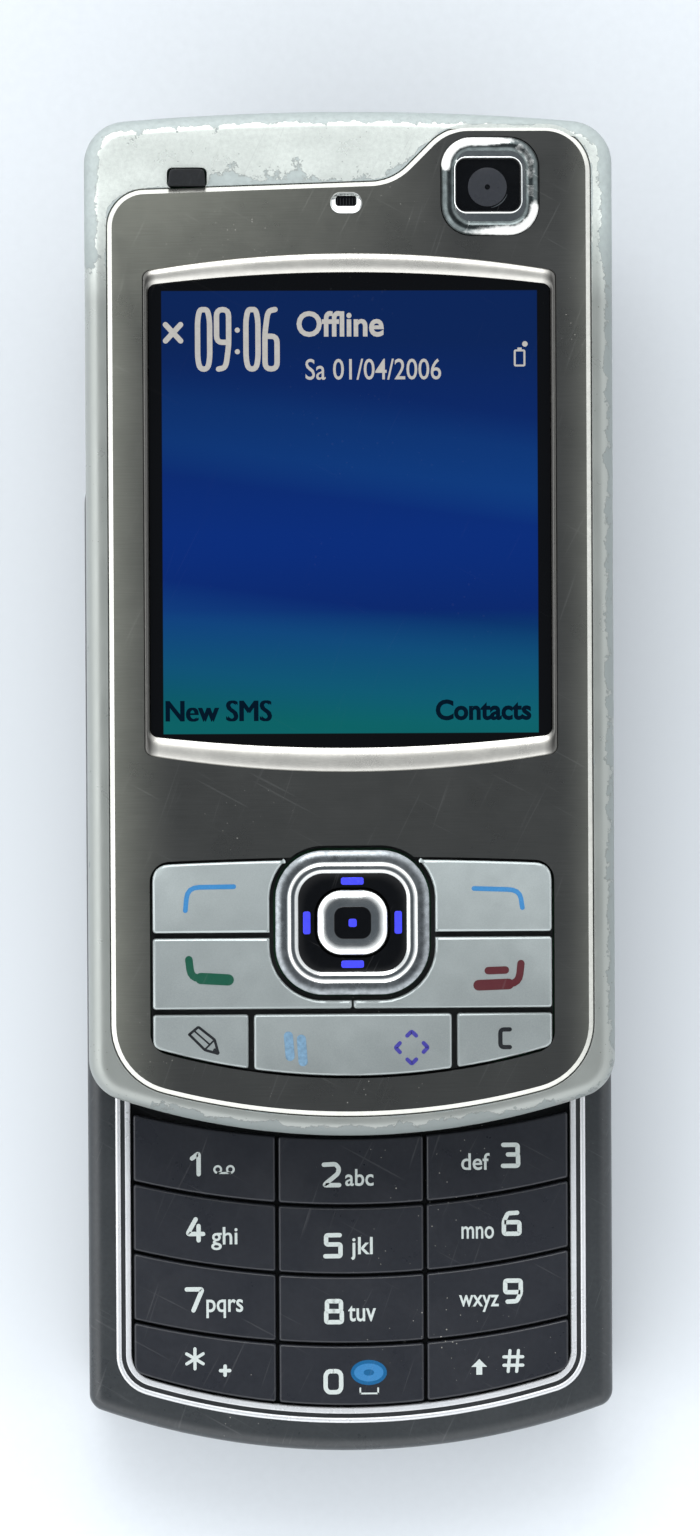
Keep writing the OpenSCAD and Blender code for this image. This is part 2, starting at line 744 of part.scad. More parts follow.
module vibration_weight() {
    color("goldenrod") at_base() translate([motor_x + motor_len + weight_gap, motor_y, motor_z])
        rotate([0, 90, 0]) difference() {
            union() {
                intersection() {
                    cylinder(r = motor_r - 0.1, h = weight_len);
                    translate([0, -motor_r, 0]) cube([motor_r, 2 * motor_r, weight_len]);
                }
                cylinder(r = 0.9, h = weight_len);
            }
            translate([0, 0, -1]) cylinder(r = shaft_r + shaft_clear, h = weight_len + 2);
        }
}
module charging_jack() {
    color("black") at_base() difference() {
        block(jack_x - 2.4, jack_x + 2.4, port_y + seat, port_y + 5.4, 2.4, board_z);
        translate([jack_x, port_y - 1, jack_z]) rotate([-90, 0, 0]) cylinder(r = jack_r, h = 5.4);
    }
    color("gold") at_base() translate([jack_x, port_y + 1.6, jack_z]) rotate([-90, 0, 0])
        cylinder(r = 0.3, h = 3);
}
module accessory_connector() {
    color("black") at_base() difference() {
        block(port_x - port_w / 2 - 0.6, port_x + port_w / 2 + 0.6, port_y + seat, port_y + 5.4,
            jack_z - port_h / 2 - 0.6, board_z);
        difference() {
            block(port_x - port_w / 2, port_x + port_w / 2, port_y - 1, port_y + 4,
                jack_z - port_h / 2, jack_z + port_h / 2);
            block(port_x - port_w / 2 + 1.5, port_x + port_w / 2 - 1.5, port_y + 0.6, port_y + 5,
                jack_z - 0.4, jack_z + 0.4);
        }
    }
}
module base_screws() {
    color("silver") at_base() for (x = [-screw_x, screw_x], y = screw_ys) difference() {
        union() {
            rod([x, y, screw_seat - 1.2], screw_head_r, 1.2);
            rod([x, y, screw_seat - eps], screw_r - 0.05, deck_under - 1.2 - screw_seat);
        }
        for (a = [0, 90]) translate([x, y, 0]) rotate(a) block(-0.9, 0.9, -0.2, 0.2, 0, 1.1);
    }
}
module base_rail_plate() {
    color("silver") at_base() {
        difference() {
            block(-rail_plate_w / 2, rail_plate_w / 2, -channel_start + 0.4, channel_end + 0.3, plate_z, base_h);
            flex_slot(slider_y - 1, slider_y + 0.5, plate_z - 1, base_h + 1);
        }
        rod([spring_x, slider_y, base_h - eps], spring_post_r, 0.65 + eps);
    }
}
module card_door() {
    color("darkslategray") at_base() translate([-base_w / 2, 0, door_z]) {
        block(0, door_t, door_top_y - door_len, door_top_y, 0, door_h);
        rod([door_knuckle_r, door_top_y, 0], door_knuckle_r, door_h);
        rod([door_knuckle_r, door_top_y, -door_pin_reach], door_pin_r, door_h + 2 * door_pin_reach);
    }
}
module capture_key() {
    color("silver") at_base() {
        block(base_w / 2 - wall + 0.1, base_w / 2 + 0.3, shutter_y - shutter_len / 2,
            shutter_y + shutter_len / 2, shutter_z - shutter_h / 2, shutter_z + shutter_h / 2);
        block(base_w / 2 - wall - 0.6, base_w / 2 - wall + 0.2, shutter_y - shutter_len / 2 + 0.4,
            shutter_y + shutter_len / 2 - 0.4, shutter_z - 0.6, shutter_z + 0.6);
    }
}

// ---------------------------------------------------------------- upper half

// Sprung wire from the post on the rail plate to the post on the upper half:
// an eye round each post, two straight arms and a coil between them.
module wire_ring(r) { rotate_extrude() translate([r, 0]) circle(r = spring_wire / 2, $fn = 24); }
module slide_spring() {
    reach = sqrt(4 * spring_x * spring_x + slider_y * slider_y) / 2;
    color("silver") translate([0, slider_y / 2, base_h + 0.35])
        rotate(atan2(slider_y, -2 * spring_x)) for (side = [-1, 1]) {
            translate([side * reach, 0]) wire_ring(spring_eye_r);
            translate([side * spring_coil_r, 0, 0]) rotate([0, side * 90, 0])
                cylinder(r = spring_wire / 2, h = reach - spring_coil_r - spring_eye_r, $fn = 24);
            if (side == 1) wire_ring(spring_coil_r);
        }
}
// Ribbon folded once, which rolls along in the gap as the halves slide.
module flex_cable() {
    strip = 0.12;
    low_z = base_h + 0.06;
    high_z = slider_z + pocket_t - 0.08;
    bend = (high_z - low_z) / 2;
    bend_y = slider_y;
    top_end = slider_y - flex_up - 0.6;
    color("darkorange") translate([flex_x, 0, 0]) rotate([90, 0, 90]) linear_extrude(flex_w) {
        translate([-0.3, low_z]) square([bend_y + 0.3, strip]);
        translate([-0.3, base_h - 2.2]) square([strip, low_z - base_h + 2.2 + strip]);
        translate([top_end, high_z - strip]) square([bend_y - top_end, strip]);
        translate([top_end, high_z - strip]) square([strip, 2.2]);
        translate([bend_y, low_z + bend]) intersection() {
            difference() {
                circle(r = bend);
                circle(r = bend - strip);
            }
            translate([0, -2 * bend]) square([2 * bend, 4 * bend]);
        }
    }
}

module frame_body() {
    hull() {
        slab(back_t, back_t + layer) slider_plan(0.15);
        slab(back_t + 0.8, slider_h - frame_round) slider_plan();
        for (a = [90, 65, 40, 18])
            slab(slider_h - frame_round * (1 - sin(a)) - layer, slider_h - frame_round * (1 - sin(a)))
                slider_plan(frame_round * (1 - cos(a)));
    }
}
module slider_frame() {
    color("gainsboro") at_slider() difference() {
        frame_body();
        slab(back_t - 1, deck_z) slider_plan(frame_wall);
        slab(ledge_z, slider_h + 1) face_plan(seat);
        slab(deck_z - 1, slider_h + 1) field_plan();
        block(-lcd_w / 2 - 0.6, lcd_w / 2 + 0.6, lcd_y - lcd_len / 2 - 0.6, lcd_y + lcd_len / 2 + 0.6,
            deck_z - 1, deck_z + 2);
        translate([0, ear_y, deck_z - 1]) linear_extrude(3) polygon(round_box(ear_w, ear_h, 0.35));
        translate([pod_x, pod_y, deck_z - 1]) linear_extrude(3)
            polygon(round_box(lens_w + 0.4, lens_h + 0.4, 0.9));
        translate([power_x, power_y, deck_z - 1]) linear_extrude(3)
            polygon(round_box(power_w + 2 * seat, power_h + 2 * seat, 0.5));
    }
}
module rail_screw_places() {
    for (x = [-rail_screw_x, rail_screw_x], y = [-rail_screw_y, rail_screw_y]) translate([x, y, 0]) children();
}
module slider_back() {
    color("darkslategray") at_slider() {
        difference() {
            union() {
                slab(0, back_t) slider_plan(0.3);
                slab(back_t - eps, back_t + 1) difference() {
                    slider_plan(frame_wall + seat);
                    slider_plan(frame_wall + 1.1);
                }
                // ribs that carry the display, and posts that carry the key board
                for (x = [-rib_x, 0, rib_x])
                    block(x - rib_t / 2, x + rib_t / 2, lcd_y - rib_len / 2, lcd_y + rib_len / 2, back_t - eps,
                        deck_z - lcd_t);
                for (x = [-post_x, post_x], y = [-soft_switch.y + 1, -low_switch.y + 0.4])
                    rod([x, y, back_t - eps], post_r, key_board_z - back_t + eps);
                block(-rocker_switch.x, rocker_switch.x, nav_y - 6.3, nav_y - 4.7, back_t - eps, key_board_z);
                rail_screw_places() rod([0, 0, back_t - eps], rail_head_r + 0.3, 1.2);
                // carrier of the switch under the power key
                block(power_x - 2.5, power_x + 2.5, power_y - 1.8, power_y + 1.8, back_t - eps, key_board_z);
                // seats of the earpiece and the front camera
                block(0.5 - ear_speaker_w / 2, ear_speaker_w / 2 - 0.5, ear_y - ear_speaker_h / 2 + 0.4,
                    ear_y + ear_speaker_h / 2 - 0.4, back_t - eps, deck_z - 2.6);
                translate([pod_x, pod_y]) block(-3, 3, -3, 3, back_t - eps, deck_z - 3.6);
            }
            both_sides() block(rail_in_x - seat, rail_out_x + seat, -rail_len / 2 - seat, rail_len / 2 + seat,
                -1, rail_t);
            block(-pocket_x, pocket_x, -pocket_y, pocket_y, -1, pocket_t);
            flex_slot(-flex_up - 1.1, -flex_up, -1, back_t + 1);
            rail_screw_places() rod([0, 0, -1], rail_screw_r + 0.05, 3.4);
        }
        rod([-spring_x, 0, -0.25], spring_post_r, pocket_t + 0.25 + eps);
    }
}
module slider_rails() {
    low = hook_bottom - slider_z;
    high = hook_top - slider_z;
    color("silver") at_slider() both_sides() difference() {
        translate([0, rail_len / 2, 0]) rotate([90, 0, 0]) linear_extrude(rail_len) polygon([
            [rail_in_x, 0], [rail_wall_x, 0], [rail_wall_x, high], [rail_wall_x - rail_hook, high],
            [rail_wall_x - rail_hook, low], [rail_out_x, low], [rail_out_x, rail_t], [rail_in_x, rail_t]]);
        for (y = [-rail_screw_y, rail_screw_y]) {
            rod([rail_screw_x, y, -1], rail_screw_r + 0.15, 3);
            rod([rail_screw_x, y, -1], rail_head_r + 0.1, 1.35);
        }
    }
}
module slider_screws() {
    color("silver") at_slider() rail_screw_places() {
        rod([0, 0, 0.05], rail_head_r, 0.3);
        rod([0, 0, 0.3], rail_screw_r, 1.9);
    }
}

module face_plate() {
    top = slider_h + plate_rise;
    color("dimgray") at_slider() difference() {
        union() {
            slab(ledge_z, top - 0.25) face_plan();
            slab(ledge_z + 0.1, top) face_plan(-0.3);
        }
        slab(ledge_z - 1, top + 1) window_plan(rim_w + seat, crescent_top, crescent_bottom);
        slab(ledge_z - 1, top + 1) field_plan();
        translate([0, ear_y, ledge_z - 1]) linear_extrude(3) polygon(round_box(ear_w, ear_h, 0.35));
        translate([0, ear_y, top - 0.35]) linear_extrude(3) polygon(round_box(3.1, 2, 0.9));
        translate([pod_x, pod_y, ledge_z - 1]) linear_extrude(3)
            polygon(round_box(pod_side + 2 * seat, pod_side + 2 * seat, pod_corner + seat));
    }
}
module window_rim() {
    color("whitesmoke") at_slider() difference() {
        cap(ledge_z, slider_h + plate_rise + 0.15, 0.2)
            window_plan(rim_w, crescent_top, crescent_bottom);
        slab(ledge_z - 1, slider_h + 1) window_plan();
    }
}
module window_lens() {
    color("black") at_slider() slab(ledge_z, ledge_z + window_t)
        offset(delta = -0.05) window_plan();
}
module display() {
    color("steelblue") at_slider() {
        block(-lcd_w / 2 - display_side, lcd_w / 2 + display_side, lcd_y - lcd_len / 2 - display_low,
            lcd_y + lcd_len / 2 + display_side, deck_z - lcd_t, deck_z);
        block(-lcd_w / 2, lcd_w / 2, lcd_y - lcd_len / 2, lcd_y + lcd_len / 2, deck_z - eps, ledge_z - 0.1);
    }
}
module slider_board() {
    pcb_top = key_board_z + board_t;
    color("green") at_slider() {
        block(-upper_board_w / 2, upper_board_w / 2, -field_bottom + upper_board_edge,
            -field_top + upper_board_edge, key_board_z, pcb_top);
        // switches under the keys
        for (side = [-1, 1], p = [soft_switch, call_switch, low_switch, rocker_switch])
            rod([side * p.x, -p.y, pcb_top - eps], switch_r, switch_h + eps);
        for (p = [[0, 0], [0, -nav_switch], [0, nav_switch], [-nav_switch, 0], [nav_switch, 0]])
            rod([p.x, nav_y + p.y, pcb_top - eps], switch_r, switch_h + eps);
        // bearings of the navigation cradle
        translate([0, nav_y, 0]) both_sides() difference() {
            block(cradle_x + bearing_near, cradle_x + bearing_near + bearing_t, -0.9, 0.9,
                pcb_top - eps, pivot_z + 0.1);
            translate([cradle_x, 0, pivot_z]) rotate([0, 90, 0]) cylinder(r = pivot_r + pivot_clear, h = 3);
        }
        // fulcrum of the rocker
        translate([0, -rocker_switch.y + fulcrum_len / 2, cap_z - 0.05 - pivot_r]) {
            block(-pivot_r, pivot_r, -fulcrum_len, 0, pcb_top - eps - cap_z + 0.05 + pivot_r, 0);
            rotate([90, 0, 0]) cylinder(r = pivot_r, h = fulcrum_len);
        }
        // switch under the power key
        block(power_x - 2, power_x + 2, power_y - 1.4, power_y + 1.4, key_board_z, switch_top);
    }
}
module earpiece() {
    color("black") at_slider() block(-ear_speaker_w / 2, ear_speaker_w / 2, ear_y - ear_speaker_h / 2,
        ear_y + ear_speaker_h / 2, deck_z - 2.6, deck_z);
}
module front_camera() {
    color("black") at_slider() {
        block(pod_x - front_camera_w / 2, pod_x + front_camera_w / 2, pod_y - front_camera_w / 2,
            pod_y + front_camera_w / 2, deck_z - 3.6, deck_z);
        rod([pod_x, pod_y, deck_z - eps], front_lens_r, ledge_z - deck_z + 0.4);
        translate([pod_x, pod_y, slider_h]) linear_extrude(0.5) polygon(round_box(lens_w, lens_h, 0.8));
    }
}
module camera_pod() {
    top = slider_h + plate_rise + pod_rise;
    color("silver") at_slider() translate([pod_x, pod_y, 0]) difference() {
        hull() {
            slab(ledge_z, slider_h + plate_rise) polygon(round_box(pod_side, pod_side, pod_corner));
            slab(top - eps, top) polygon(round_box(pod_side - 1.4, pod_side - 1.4, pod_corner - 0.6));
        }
        slab(ledge_z - 1, top + 1) polygon(round_box(lens_w + 0.1, lens_h + 0.1, 0.85));
    }
}

// ---------------------------------------------------------------- upper keys

module power_key() {
    color("dimgray") at_slider() translate([power_x, power_y, 0])
        cap(cap_z, cap_top + 0.1, 0.2) polygon(round_box(power_w, power_h, 0.4));
}
module upper_key() {
    color("silver") at_slider() cap(cap_z, cap_top, 0.2) children();
}
module row_span(x0, x1, y0, y1) { translate([x0, y0]) square([x1 - x0, y1 - y0]); }
module soft_plan() {
    difference() {
        intersection() {
            field_plan(cap_gap);
            row_span(-field_w, 0, soft_bottom, 0);
        }
        nav_plan(ring_gap + 0.1);
    }
}
// The call key runs on under the ring to the middle.
module call_plan() {
    difference() {
        intersection() {
            field_plan(cap_gap);
            row_span(-field_w, -0.08, call_bottom, call_top);
        }
        nav_plan(ring_gap + 0.1);
    }
}
module low_plan(x0, x1) {
    intersection() {
        field_plan(cap_gap);
        row_span(x0, x1, -half, low_top);
    }
}
module soft_key_left() { upper_key() soft_plan(); }
module soft_key_right() { upper_key() mirror([1, 0]) soft_plan(); }
module call_key() { upper_key() call_plan(); }
module end_key() { upper_key() mirror([1, 0]) call_plan(); }
module edit_key() { upper_key() low_plan(-field_w, -rocker_w / 2 - 2 * cap_gap); }
module clear_key() { upper_key() low_plan(rocker_w / 2 + 2 * cap_gap, field_w); }
module menu_rocker() { upper_key() low_plan(-rocker_w / 2, rocker_w / 2); }

module nav_cradle() {
    color("gray") at_slider() translate([0, nav_y, pivot_z]) {
        difference() {
            block(-cradle_x, cradle_x, -cradle_y, cradle_y, -cradle_t / 2, cradle_t / 2);
            translate([0, 0, -1]) cylinder(r = 3, h = 2);
        }
        for (side = [-1, 1]) {
            translate([side * (cradle_x - 0.3), 0, 0]) rotate([0, side * 90, 0])
                cylinder(r = pivot_r, h = 0.3 + bearing_near + bearing_t + 0.1);
            translate([0, side * (cradle_y - 0.3), 0]) rotate([-side * 90, 0, 0])
                cylinder(r = pivot_r, h = 0.3 + bearing_near + bearing_t + 0.1);
        }
    }
}
module nav_ring() {
    hole_w = select_w + 0.3;
    hole_h = select_h + 0.3;
    color("silver") at_slider() {
        difference() {
            union() {
                slab(ring_z, ring_top - 0.35) nav_plan();
                slab(ring_z + 0.2, ring_top) nav_plan(-1.1);
            }
            translate([0, nav_y, ring_z - 1]) linear_extrude(4) polygon(round_box(hole_w, hole_h, 2.6));
            slab(ring_top - 0.3, ring_top + 1) nav_plan(-2.2);
            // relief over the cradle's pins and their bearings
            translate([0, nav_y, 0]) both_sides()
                block(cradle_x - 0.4, ring_w / 2 - 0.3, -1, 1, ring_z - 1, ring_z + 0.12);
        }
        translate([0, nav_y, 0]) for (side = [-1, 1]) difference() {
            block(-0.8, 0.8, side * (cradle_y + bearing_near + bearing_t / 2) - bearing_t / 2,
                side * (cradle_y + bearing_near + bearing_t / 2) + bearing_t / 2, pivot_z - 0.12, ring_z + eps);
            translate([0, -8, pivot_z]) rotate([-90, 0, 0]) cylinder(r = pivot_r + pivot_clear, h = 16);
        }
    }
}
module select_key() {
    color("silver") at_slider() translate([0, nav_y, 0]) {
        cap(select_top - select_t, select_top, 0.3) polygon(round_box(select_w, select_h, 2.4));
        rod([0, 0, switch_top + key_float], 1.6, select_top - select_t - switch_top - key_float + eps);
    }
}

base_front_cover();
base_rear_cover();
keypad_rim();
keypad_mat();
keypad_board();
key_1();
key_2();
key_3();
key_4();
key_5();
key_6();
key_7();
key_8();
key_9();
key_star();
key_0();
key_hash();
main_board();
battery_contacts();
sim_holder();
rear_camera();
camera_windows();
macro_lever();
loudspeaker();
vibration_motor();
vibration_weight();
charging_jack();
accessory_connector();
base_rail_plate();
base_screws();
battery();
battery_cover();
cover_release();
card_door();
capture_key();
slide_spring();
flex_cable();
slider_frame();
slider_back();
slider_rails();
slider_screws();
face_plate();
window_rim();
window_lens();
display();
slider_board();
earpiece();
front_camera();
camera_pod();
power_key();
soft_key_left();
soft_key_right();
call_key();
end_key();
edit_key();
menu_rocker();
clear_key();
nav_cradle();
nav_ring();
select_key();
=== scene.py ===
"""Slider phone, lying open on its back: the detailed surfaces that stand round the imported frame.

Lengths in this file are millimetres in the row frame; a mesh is turned into metres when it is made.
"""

import math

import bmesh
import bpy
import numpy as np
from bpy.props import FloatProperty, FloatVectorProperty, PointerProperty
from mathutils import Matrix, Vector
from mathutils.geometry import delaunay_2d_cdt


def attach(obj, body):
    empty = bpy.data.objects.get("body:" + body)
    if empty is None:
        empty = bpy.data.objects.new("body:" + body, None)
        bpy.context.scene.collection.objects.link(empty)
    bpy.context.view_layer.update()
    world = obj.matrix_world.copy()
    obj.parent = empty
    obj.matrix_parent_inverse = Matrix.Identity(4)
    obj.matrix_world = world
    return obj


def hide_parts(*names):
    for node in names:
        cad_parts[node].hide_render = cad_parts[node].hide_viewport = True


bl_info = {
    "name": "Slider phone",
    "version": (1, 0, 0),
    "blender": (4, 5, 0),
    "location": "3D View > Sidebar > Phone",
    "description": "Builds the surfaces, finishes and stage of a slider phone",
    "category": "Object",
}

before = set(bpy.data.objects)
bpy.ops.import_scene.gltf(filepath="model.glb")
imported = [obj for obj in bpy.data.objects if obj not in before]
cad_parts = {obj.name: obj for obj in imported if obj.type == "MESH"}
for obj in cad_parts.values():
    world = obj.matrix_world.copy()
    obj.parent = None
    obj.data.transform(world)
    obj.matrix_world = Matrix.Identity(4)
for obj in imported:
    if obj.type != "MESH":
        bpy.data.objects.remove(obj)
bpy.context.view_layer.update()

MM = 0.001
BLACK = (0.0, 0.0, 0.0)
HALF = 47.7  # half of each half's length
TOP_BOW = 250  # radius of both halves' curved upper ends
CORNER = 4
BASE_Y = -15.5  # middle of the lower half
BASE_W = 50
BASE_H = 12.8
BASE_BOW = 72  # radius of its curved lower end
SLIDER_Y = 15.5  # middle of the upper half
SLIDER_W = 49.15
SLIDER_BOW = 69
SLIDER_Z = 13.2  # underside of the upper half
FRAME_TOP = SLIDER_Z + 9.2
PLATE_TOP = FRAME_TOP + 0.2
LEDGE = PLATE_TOP - 0.9  # seat of the face plate and the window
# distances above and below the upper half's middle
WINDOW_W, WINDOW_TOP, WINDOW_LOW = 37.4, 32.65, 11.5
FIELD_W, FIELD_TOP, FIELD_LOW = 37.6, 21.6, 42.2  # field of the upper keys
NAV_Y = SLIDER_Y - 27.7
NAV_W, NAV_D = 14.3, 13.4
EARPIECE = (-0.25, SLIDER_Y + 39.05)
CAMERA = (13.1, SLIDER_Y + 40.55)
CAMERA_WINDOW = (12.92, SLIDER_Y + 40.63)
CAMERA_LENS = (12.85, SLIDER_Y + 40.46)
KEY_FOOT, KEY_TOP = 21.95, 22.75  # upper keys
PAD_W, PAD_LOW, PAD_BOW = 41.6, 43.3, 66  # field of the number keys
NUMBER_FOOT, NUMBER_TOP = 12.0, 12.9


def srgb(red, green, blue):
    """A colour of 0 to 255 as the screen shows it, as Blender's linear values."""
    c = np.array([red, green, blue]) / 255
    c = np.where(c < 0.04045, c / 12.92, ((c + 0.055) / 1.055) ** 2.4)
    return tuple(float(x) for x in c)


def colour(name, text, value):
    return FloatVectorProperty(name=name, description=text, default=value, size=3, min=0, max=1,
                               subtype="COLOR")


def length(name, text, value, low=0.0, high=10.0):
    """A length in millimetres."""
    return FloatProperty(name=name, description=text + ", in millimetres", default=value, min=low, max=high)


def share(name, text, value):
    return FloatProperty(name=name, description=text, default=value, min=0, max=1, subtype="FACTOR")


def amount(name, text, value, low=0.0, **kind):
    return FloatProperty(name=name, description=text, default=value, min=low, **kind)


# ------------------------------------------------------------------ sizes and colours that a user may change


class PHONE_PG_shape(bpy.types.PropertyGroup):
    frame_roll: length("Frame roll", "Width of the rounded edge of the upper frame", 1.62, 0.8, 1.7)
    plate_bevel: length("Plate bevel", "Width of the bright bevel round the face plate", 0.42, 0.1, 0.8)
    key_bevel: length("Key edge", "Rounding of the upper keys' edges", 0.26, 0.05, 0.4)
    number_bevel: length("Number key edge", "Rounding of the number keys' edges", 0.24, 0.05, 0.4)
    digit_height: length("Digit height", "Height of the digits on the number keys", 2.42, 1.5, 3)
    letter_height: length("Letter height", "Height of the small letters on the number keys", 1.62, 0.6, 2.2)
    print_rise: length("Print thickness", "Thickness of the printed marks", 0.012, 0.004, 0.05)
    groove: length("Parting line", "Width of the bevels along the casing's parting line", 0.14, 0.05, 0.3)


class PHONE_PG_finish(bpy.types.PropertyGroup):
    paint: colour("Frame paint", "Silver paint of the upper frame", srgb(214, 220, 214))
    bare: colour("Bare plastic", "Plastic under the silver paint", srgb(158, 167, 165))
    plate: colour("Face plate", "Dark face plate", srgb(98, 99, 97))
    bright: colour("Bright metal", "Polished rims and trim", srgb(226, 228, 226))
    key_metal: colour("Upper keys", "Silver of the upper keys", srgb(172, 180, 179))
    number_key: colour("Number keys", "Plastic of the number keys", srgb(36, 38, 43))
    housing: colour("Housing", "Plastic of the lower half", srgb(50, 53, 55))
    digits: colour("Digits", "Print on the number keys", srgb(182, 190, 187))
    screen_top: colour("Screen, top", "Picture colour at the top", srgb(2, 33, 88))
    screen_mid: colour("Screen, middle", "Picture colour in the middle", srgb(0, 44, 128))
    screen_low: colour("Screen, bottom", "Picture colour at the bottom", srgb(2, 100, 102))
    wear: share("Wear", "How much of the paint is chipped away", 0.5)
    dust: share("Dust", "How much dust lies on the pieces", 0.3)


class PHONE_PG_stage(bpy.types.PropertyGroup):
    floor: colour("Floor", "Floor under the phone", srgb(214, 219, 223))
    lamp: amount("Softbox", "Power of the large softbox", 1.9, unit="POWER")
    fill: amount("Fill", "Power of the fill lamp", 0.6, unit="POWER")
    room: amount("Room light", "Strength of the light from all round", 2.3)
    camera_x: length("Camera X", "Place of the camera", -11.28, -500, 500)
    camera_y: length("Camera Y", "Place of the camera", 7.62, -500, 500)
    camera_z: length("Camera height", "Height of the camera", 430.4, 100, 2000)
    focal: amount("Lens", "Focal length", 103.01, 10, subtype="DISTANCE_CAMERA")


# ------------------------------------------------------------------ outlines, as closed loops of (x, y)


def arc(x, y, r, start, end, n):
    """Points on a circle of radius r about (x, y), from angle start to angle end in degrees."""
    a = np.radians(np.linspace(start, end, n))
    return np.stack([x + r * np.cos(a), y + r * np.sin(a)], 1)


def bowed_end(w, y, bow, r):
    """One curved end, right to left: a corner of radius r, an arc of radius bow with its top at y, a corner."""
    x = w / 2 - r
    dy = math.sqrt((bow - r) ** 2 - x * x)
    a = math.degrees(math.atan2(dy, x))
    return np.concatenate([
        arc(x, y - bow + dy, r, 0, a, 13)[:-1],
        arc(0, y - bow, bow, a, 180 - a, 61),
        arc(-x, y - bow + dy, r, 180 - a, 180, 13)[1:],
    ])


def bowed(w, y1, bow1, r1, y0, bow0, r0, inset=0.0):
    """Straight sides, a bowed end at y1 and another at -y0, all moved in by inset."""
    i = inset
    high = bowed_end(w - 2 * i, y1 - i, bow1 - i, max(r1 - i, 0.3))
    low = bowed_end(w - 2 * i, y0 - i, bow0 - i, max(r0 - i, 0.3))
    return np.concatenate([high, low[::-1] * [1, -1]])


def round_box(w, h, r, x=0.0, y=0.0, n=9):
    """A rectangle with corners of radius r about (x, y)."""
    a, b = w / 2 - r, h / 2 - r
    corners = [arc(x + a, y + b, r, 0, 90, n), arc(x - a, y + b, r, 90, 180, n),
               arc(x - a, y - b, r, 180, 270, n), arc(x + a, y - b, r, 270, 360, n)]
    return np.concatenate(corners)


def base_plan(inset=0.0):
    return bowed(BASE_W, HALF, TOP_BOW, CORNER, HALF, BASE_BOW, 1.7, inset) + [0, BASE_Y]


def slider_plan(inset=0.0):
    return bowed(SLIDER_W, HALF, TOP_BOW, CORNER, HALF, SLIDER_BOW, CORNER, inset) + [0, SLIDER_Y]


def face_plan(outset=0.0):
    """The face plate: low on the left, then up in an S of two arcs of radius r to pass the camera."""
    half_w, low_y, high_y, rise_x, r = 22.4, 41.0, 46.1, 1.9, 5.0
    right_corner, left_corner, dip = 4.2, 3.5, 0.7
    step = low_y + r * (1 - math.cos(math.pi / 4))
    high_x = rise_x + 2 * r * math.sin(math.pi / 4) + (high_y - low_y - 2 * (step - low_y))
    low = bowed_end(2 * half_w, HALF - 2, SLIDER_BOW, 6.5)
    loop = np.concatenate([
        arc(half_w - right_corner, high_y - right_corner, right_corner, 0, 90, 15),
        arc(high_x, high_y - r, r, 90, 135, 9),
        arc(rise_x, low_y + r, r, -45, -90, 9),
        arc(left_corner - half_w, low_y - dip - left_corner, left_corner, 90, 180, 13),
        low[::-1] * [1, -1],
    ])
    return offset(loop + [0, SLIDER_Y], -outset)


def window_plan(outset=0.0, top=0.0, bottom=0.0):
    """The window; top and bottom add the rim's crescents."""
    mid = (WINDOW_TOP + top - WINDOW_LOW - bottom) / 2
    reach = (WINDOW_TOP + top + WINDOW_LOW + bottom) / 2
    bow = 112 if top else 152
    return bowed(WINDOW_W + 2 * outset, reach, bow, 0.8, reach, bow, 0.8) + [0, mid + SLIDER_Y]


def nav_plan(outset=0.0):
    return round_box(NAV_W + 2 * outset, NAV_D + 2 * outset, 4.5 + outset, 0, NAV_Y, 17)


def field_plan(inset=0.0):
    """Outline of the upper keys with the bump round the navigation ring.

    In each direction from the field's middle it has the larger of the two outlines' radii.
    """
    mid, reach = (FIELD_LOW + FIELD_TOP) / 2, (FIELD_LOW - FIELD_TOP) / 2
    centre = np.array([0, SLIDER_Y - mid])
    plain = bowed(FIELD_W, reach, 400, 1.9, reach, 65, 2, inset) + centre
    bump = nav_plan(0.45 - inset)
    a = angles_of([plain, bump], centre, 0.4)
    return centre + np.maximum(radii(plain, centre, a), radii(bump, centre, a))[:, None] * spokes(a)


def pad_plan(outset, start):
    """The field of number keys, open towards the upper half, where it ends on a straight line."""
    side = PAD_W / 2 + outset
    low = bowed_end(PAD_W + 2 * outset, PAD_LOW + outset, PAD_BOW + outset, 2.4 + outset)
    loop = np.concatenate([[[side, -start], [-side, -start]], low[::-1] * [1, -1]])
    return loop + [0, BASE_Y]


def dense(loop, step):
    """The same loop with its long edges divided to at most step."""
    after = np.roll(loop, -1, 0)
    parts = np.maximum(1, np.ceil(np.hypot(*(after - loop).T) / step).astype(int))
    start = np.repeat(loop, parts, 0)
    span = np.repeat(after - loop, parts, 0)
    k = np.arange(parts.sum()) - np.repeat(np.cumsum(parts) - parts, parts)
    return start + span * (k / np.repeat(parts, parts))[:, None]


def spokes(a):
    return np.stack([np.cos(a), np.sin(a)], 1)


def radii(loop, centre, a):
    """Distance from centre to the loop in each direction a."""
    d = dense(loop, 0.15) - centre
    b = np.arctan2(d[:, 1], d[:, 0])
    order = np.argsort(b)
    return np.interp(a, b[order], np.hypot(d[:, 0], d[:, 1])[order], period=2 * math.pi)


def angles_of(loops, centre, step):
    """Directions in which the loops have points, without near doubles."""
    d = np.concatenate([dense(loop, step) for loop in loops]) - centre
    a = np.sort(np.arctan2(d[:, 1], d[:, 0]))
    gap = 0.12 * step / np.median(np.hypot(d[:, 0], d[:, 1]))
    kept = [a[0]]
    for angle in a[1:]:
        if angle - kept[-1] > gap:
            kept.append(angle)
    return np.array(kept)


def loops_round(centre, step, *loops):
    """The loops again, with their points in the same directions from centre, so that they can be joined."""
    centre = np.asarray(centre, float)
    a = angles_of(loops, centre, step)
    return [centre + radii(loop, centre, a)[:, None] * spokes(a) for loop in loops]


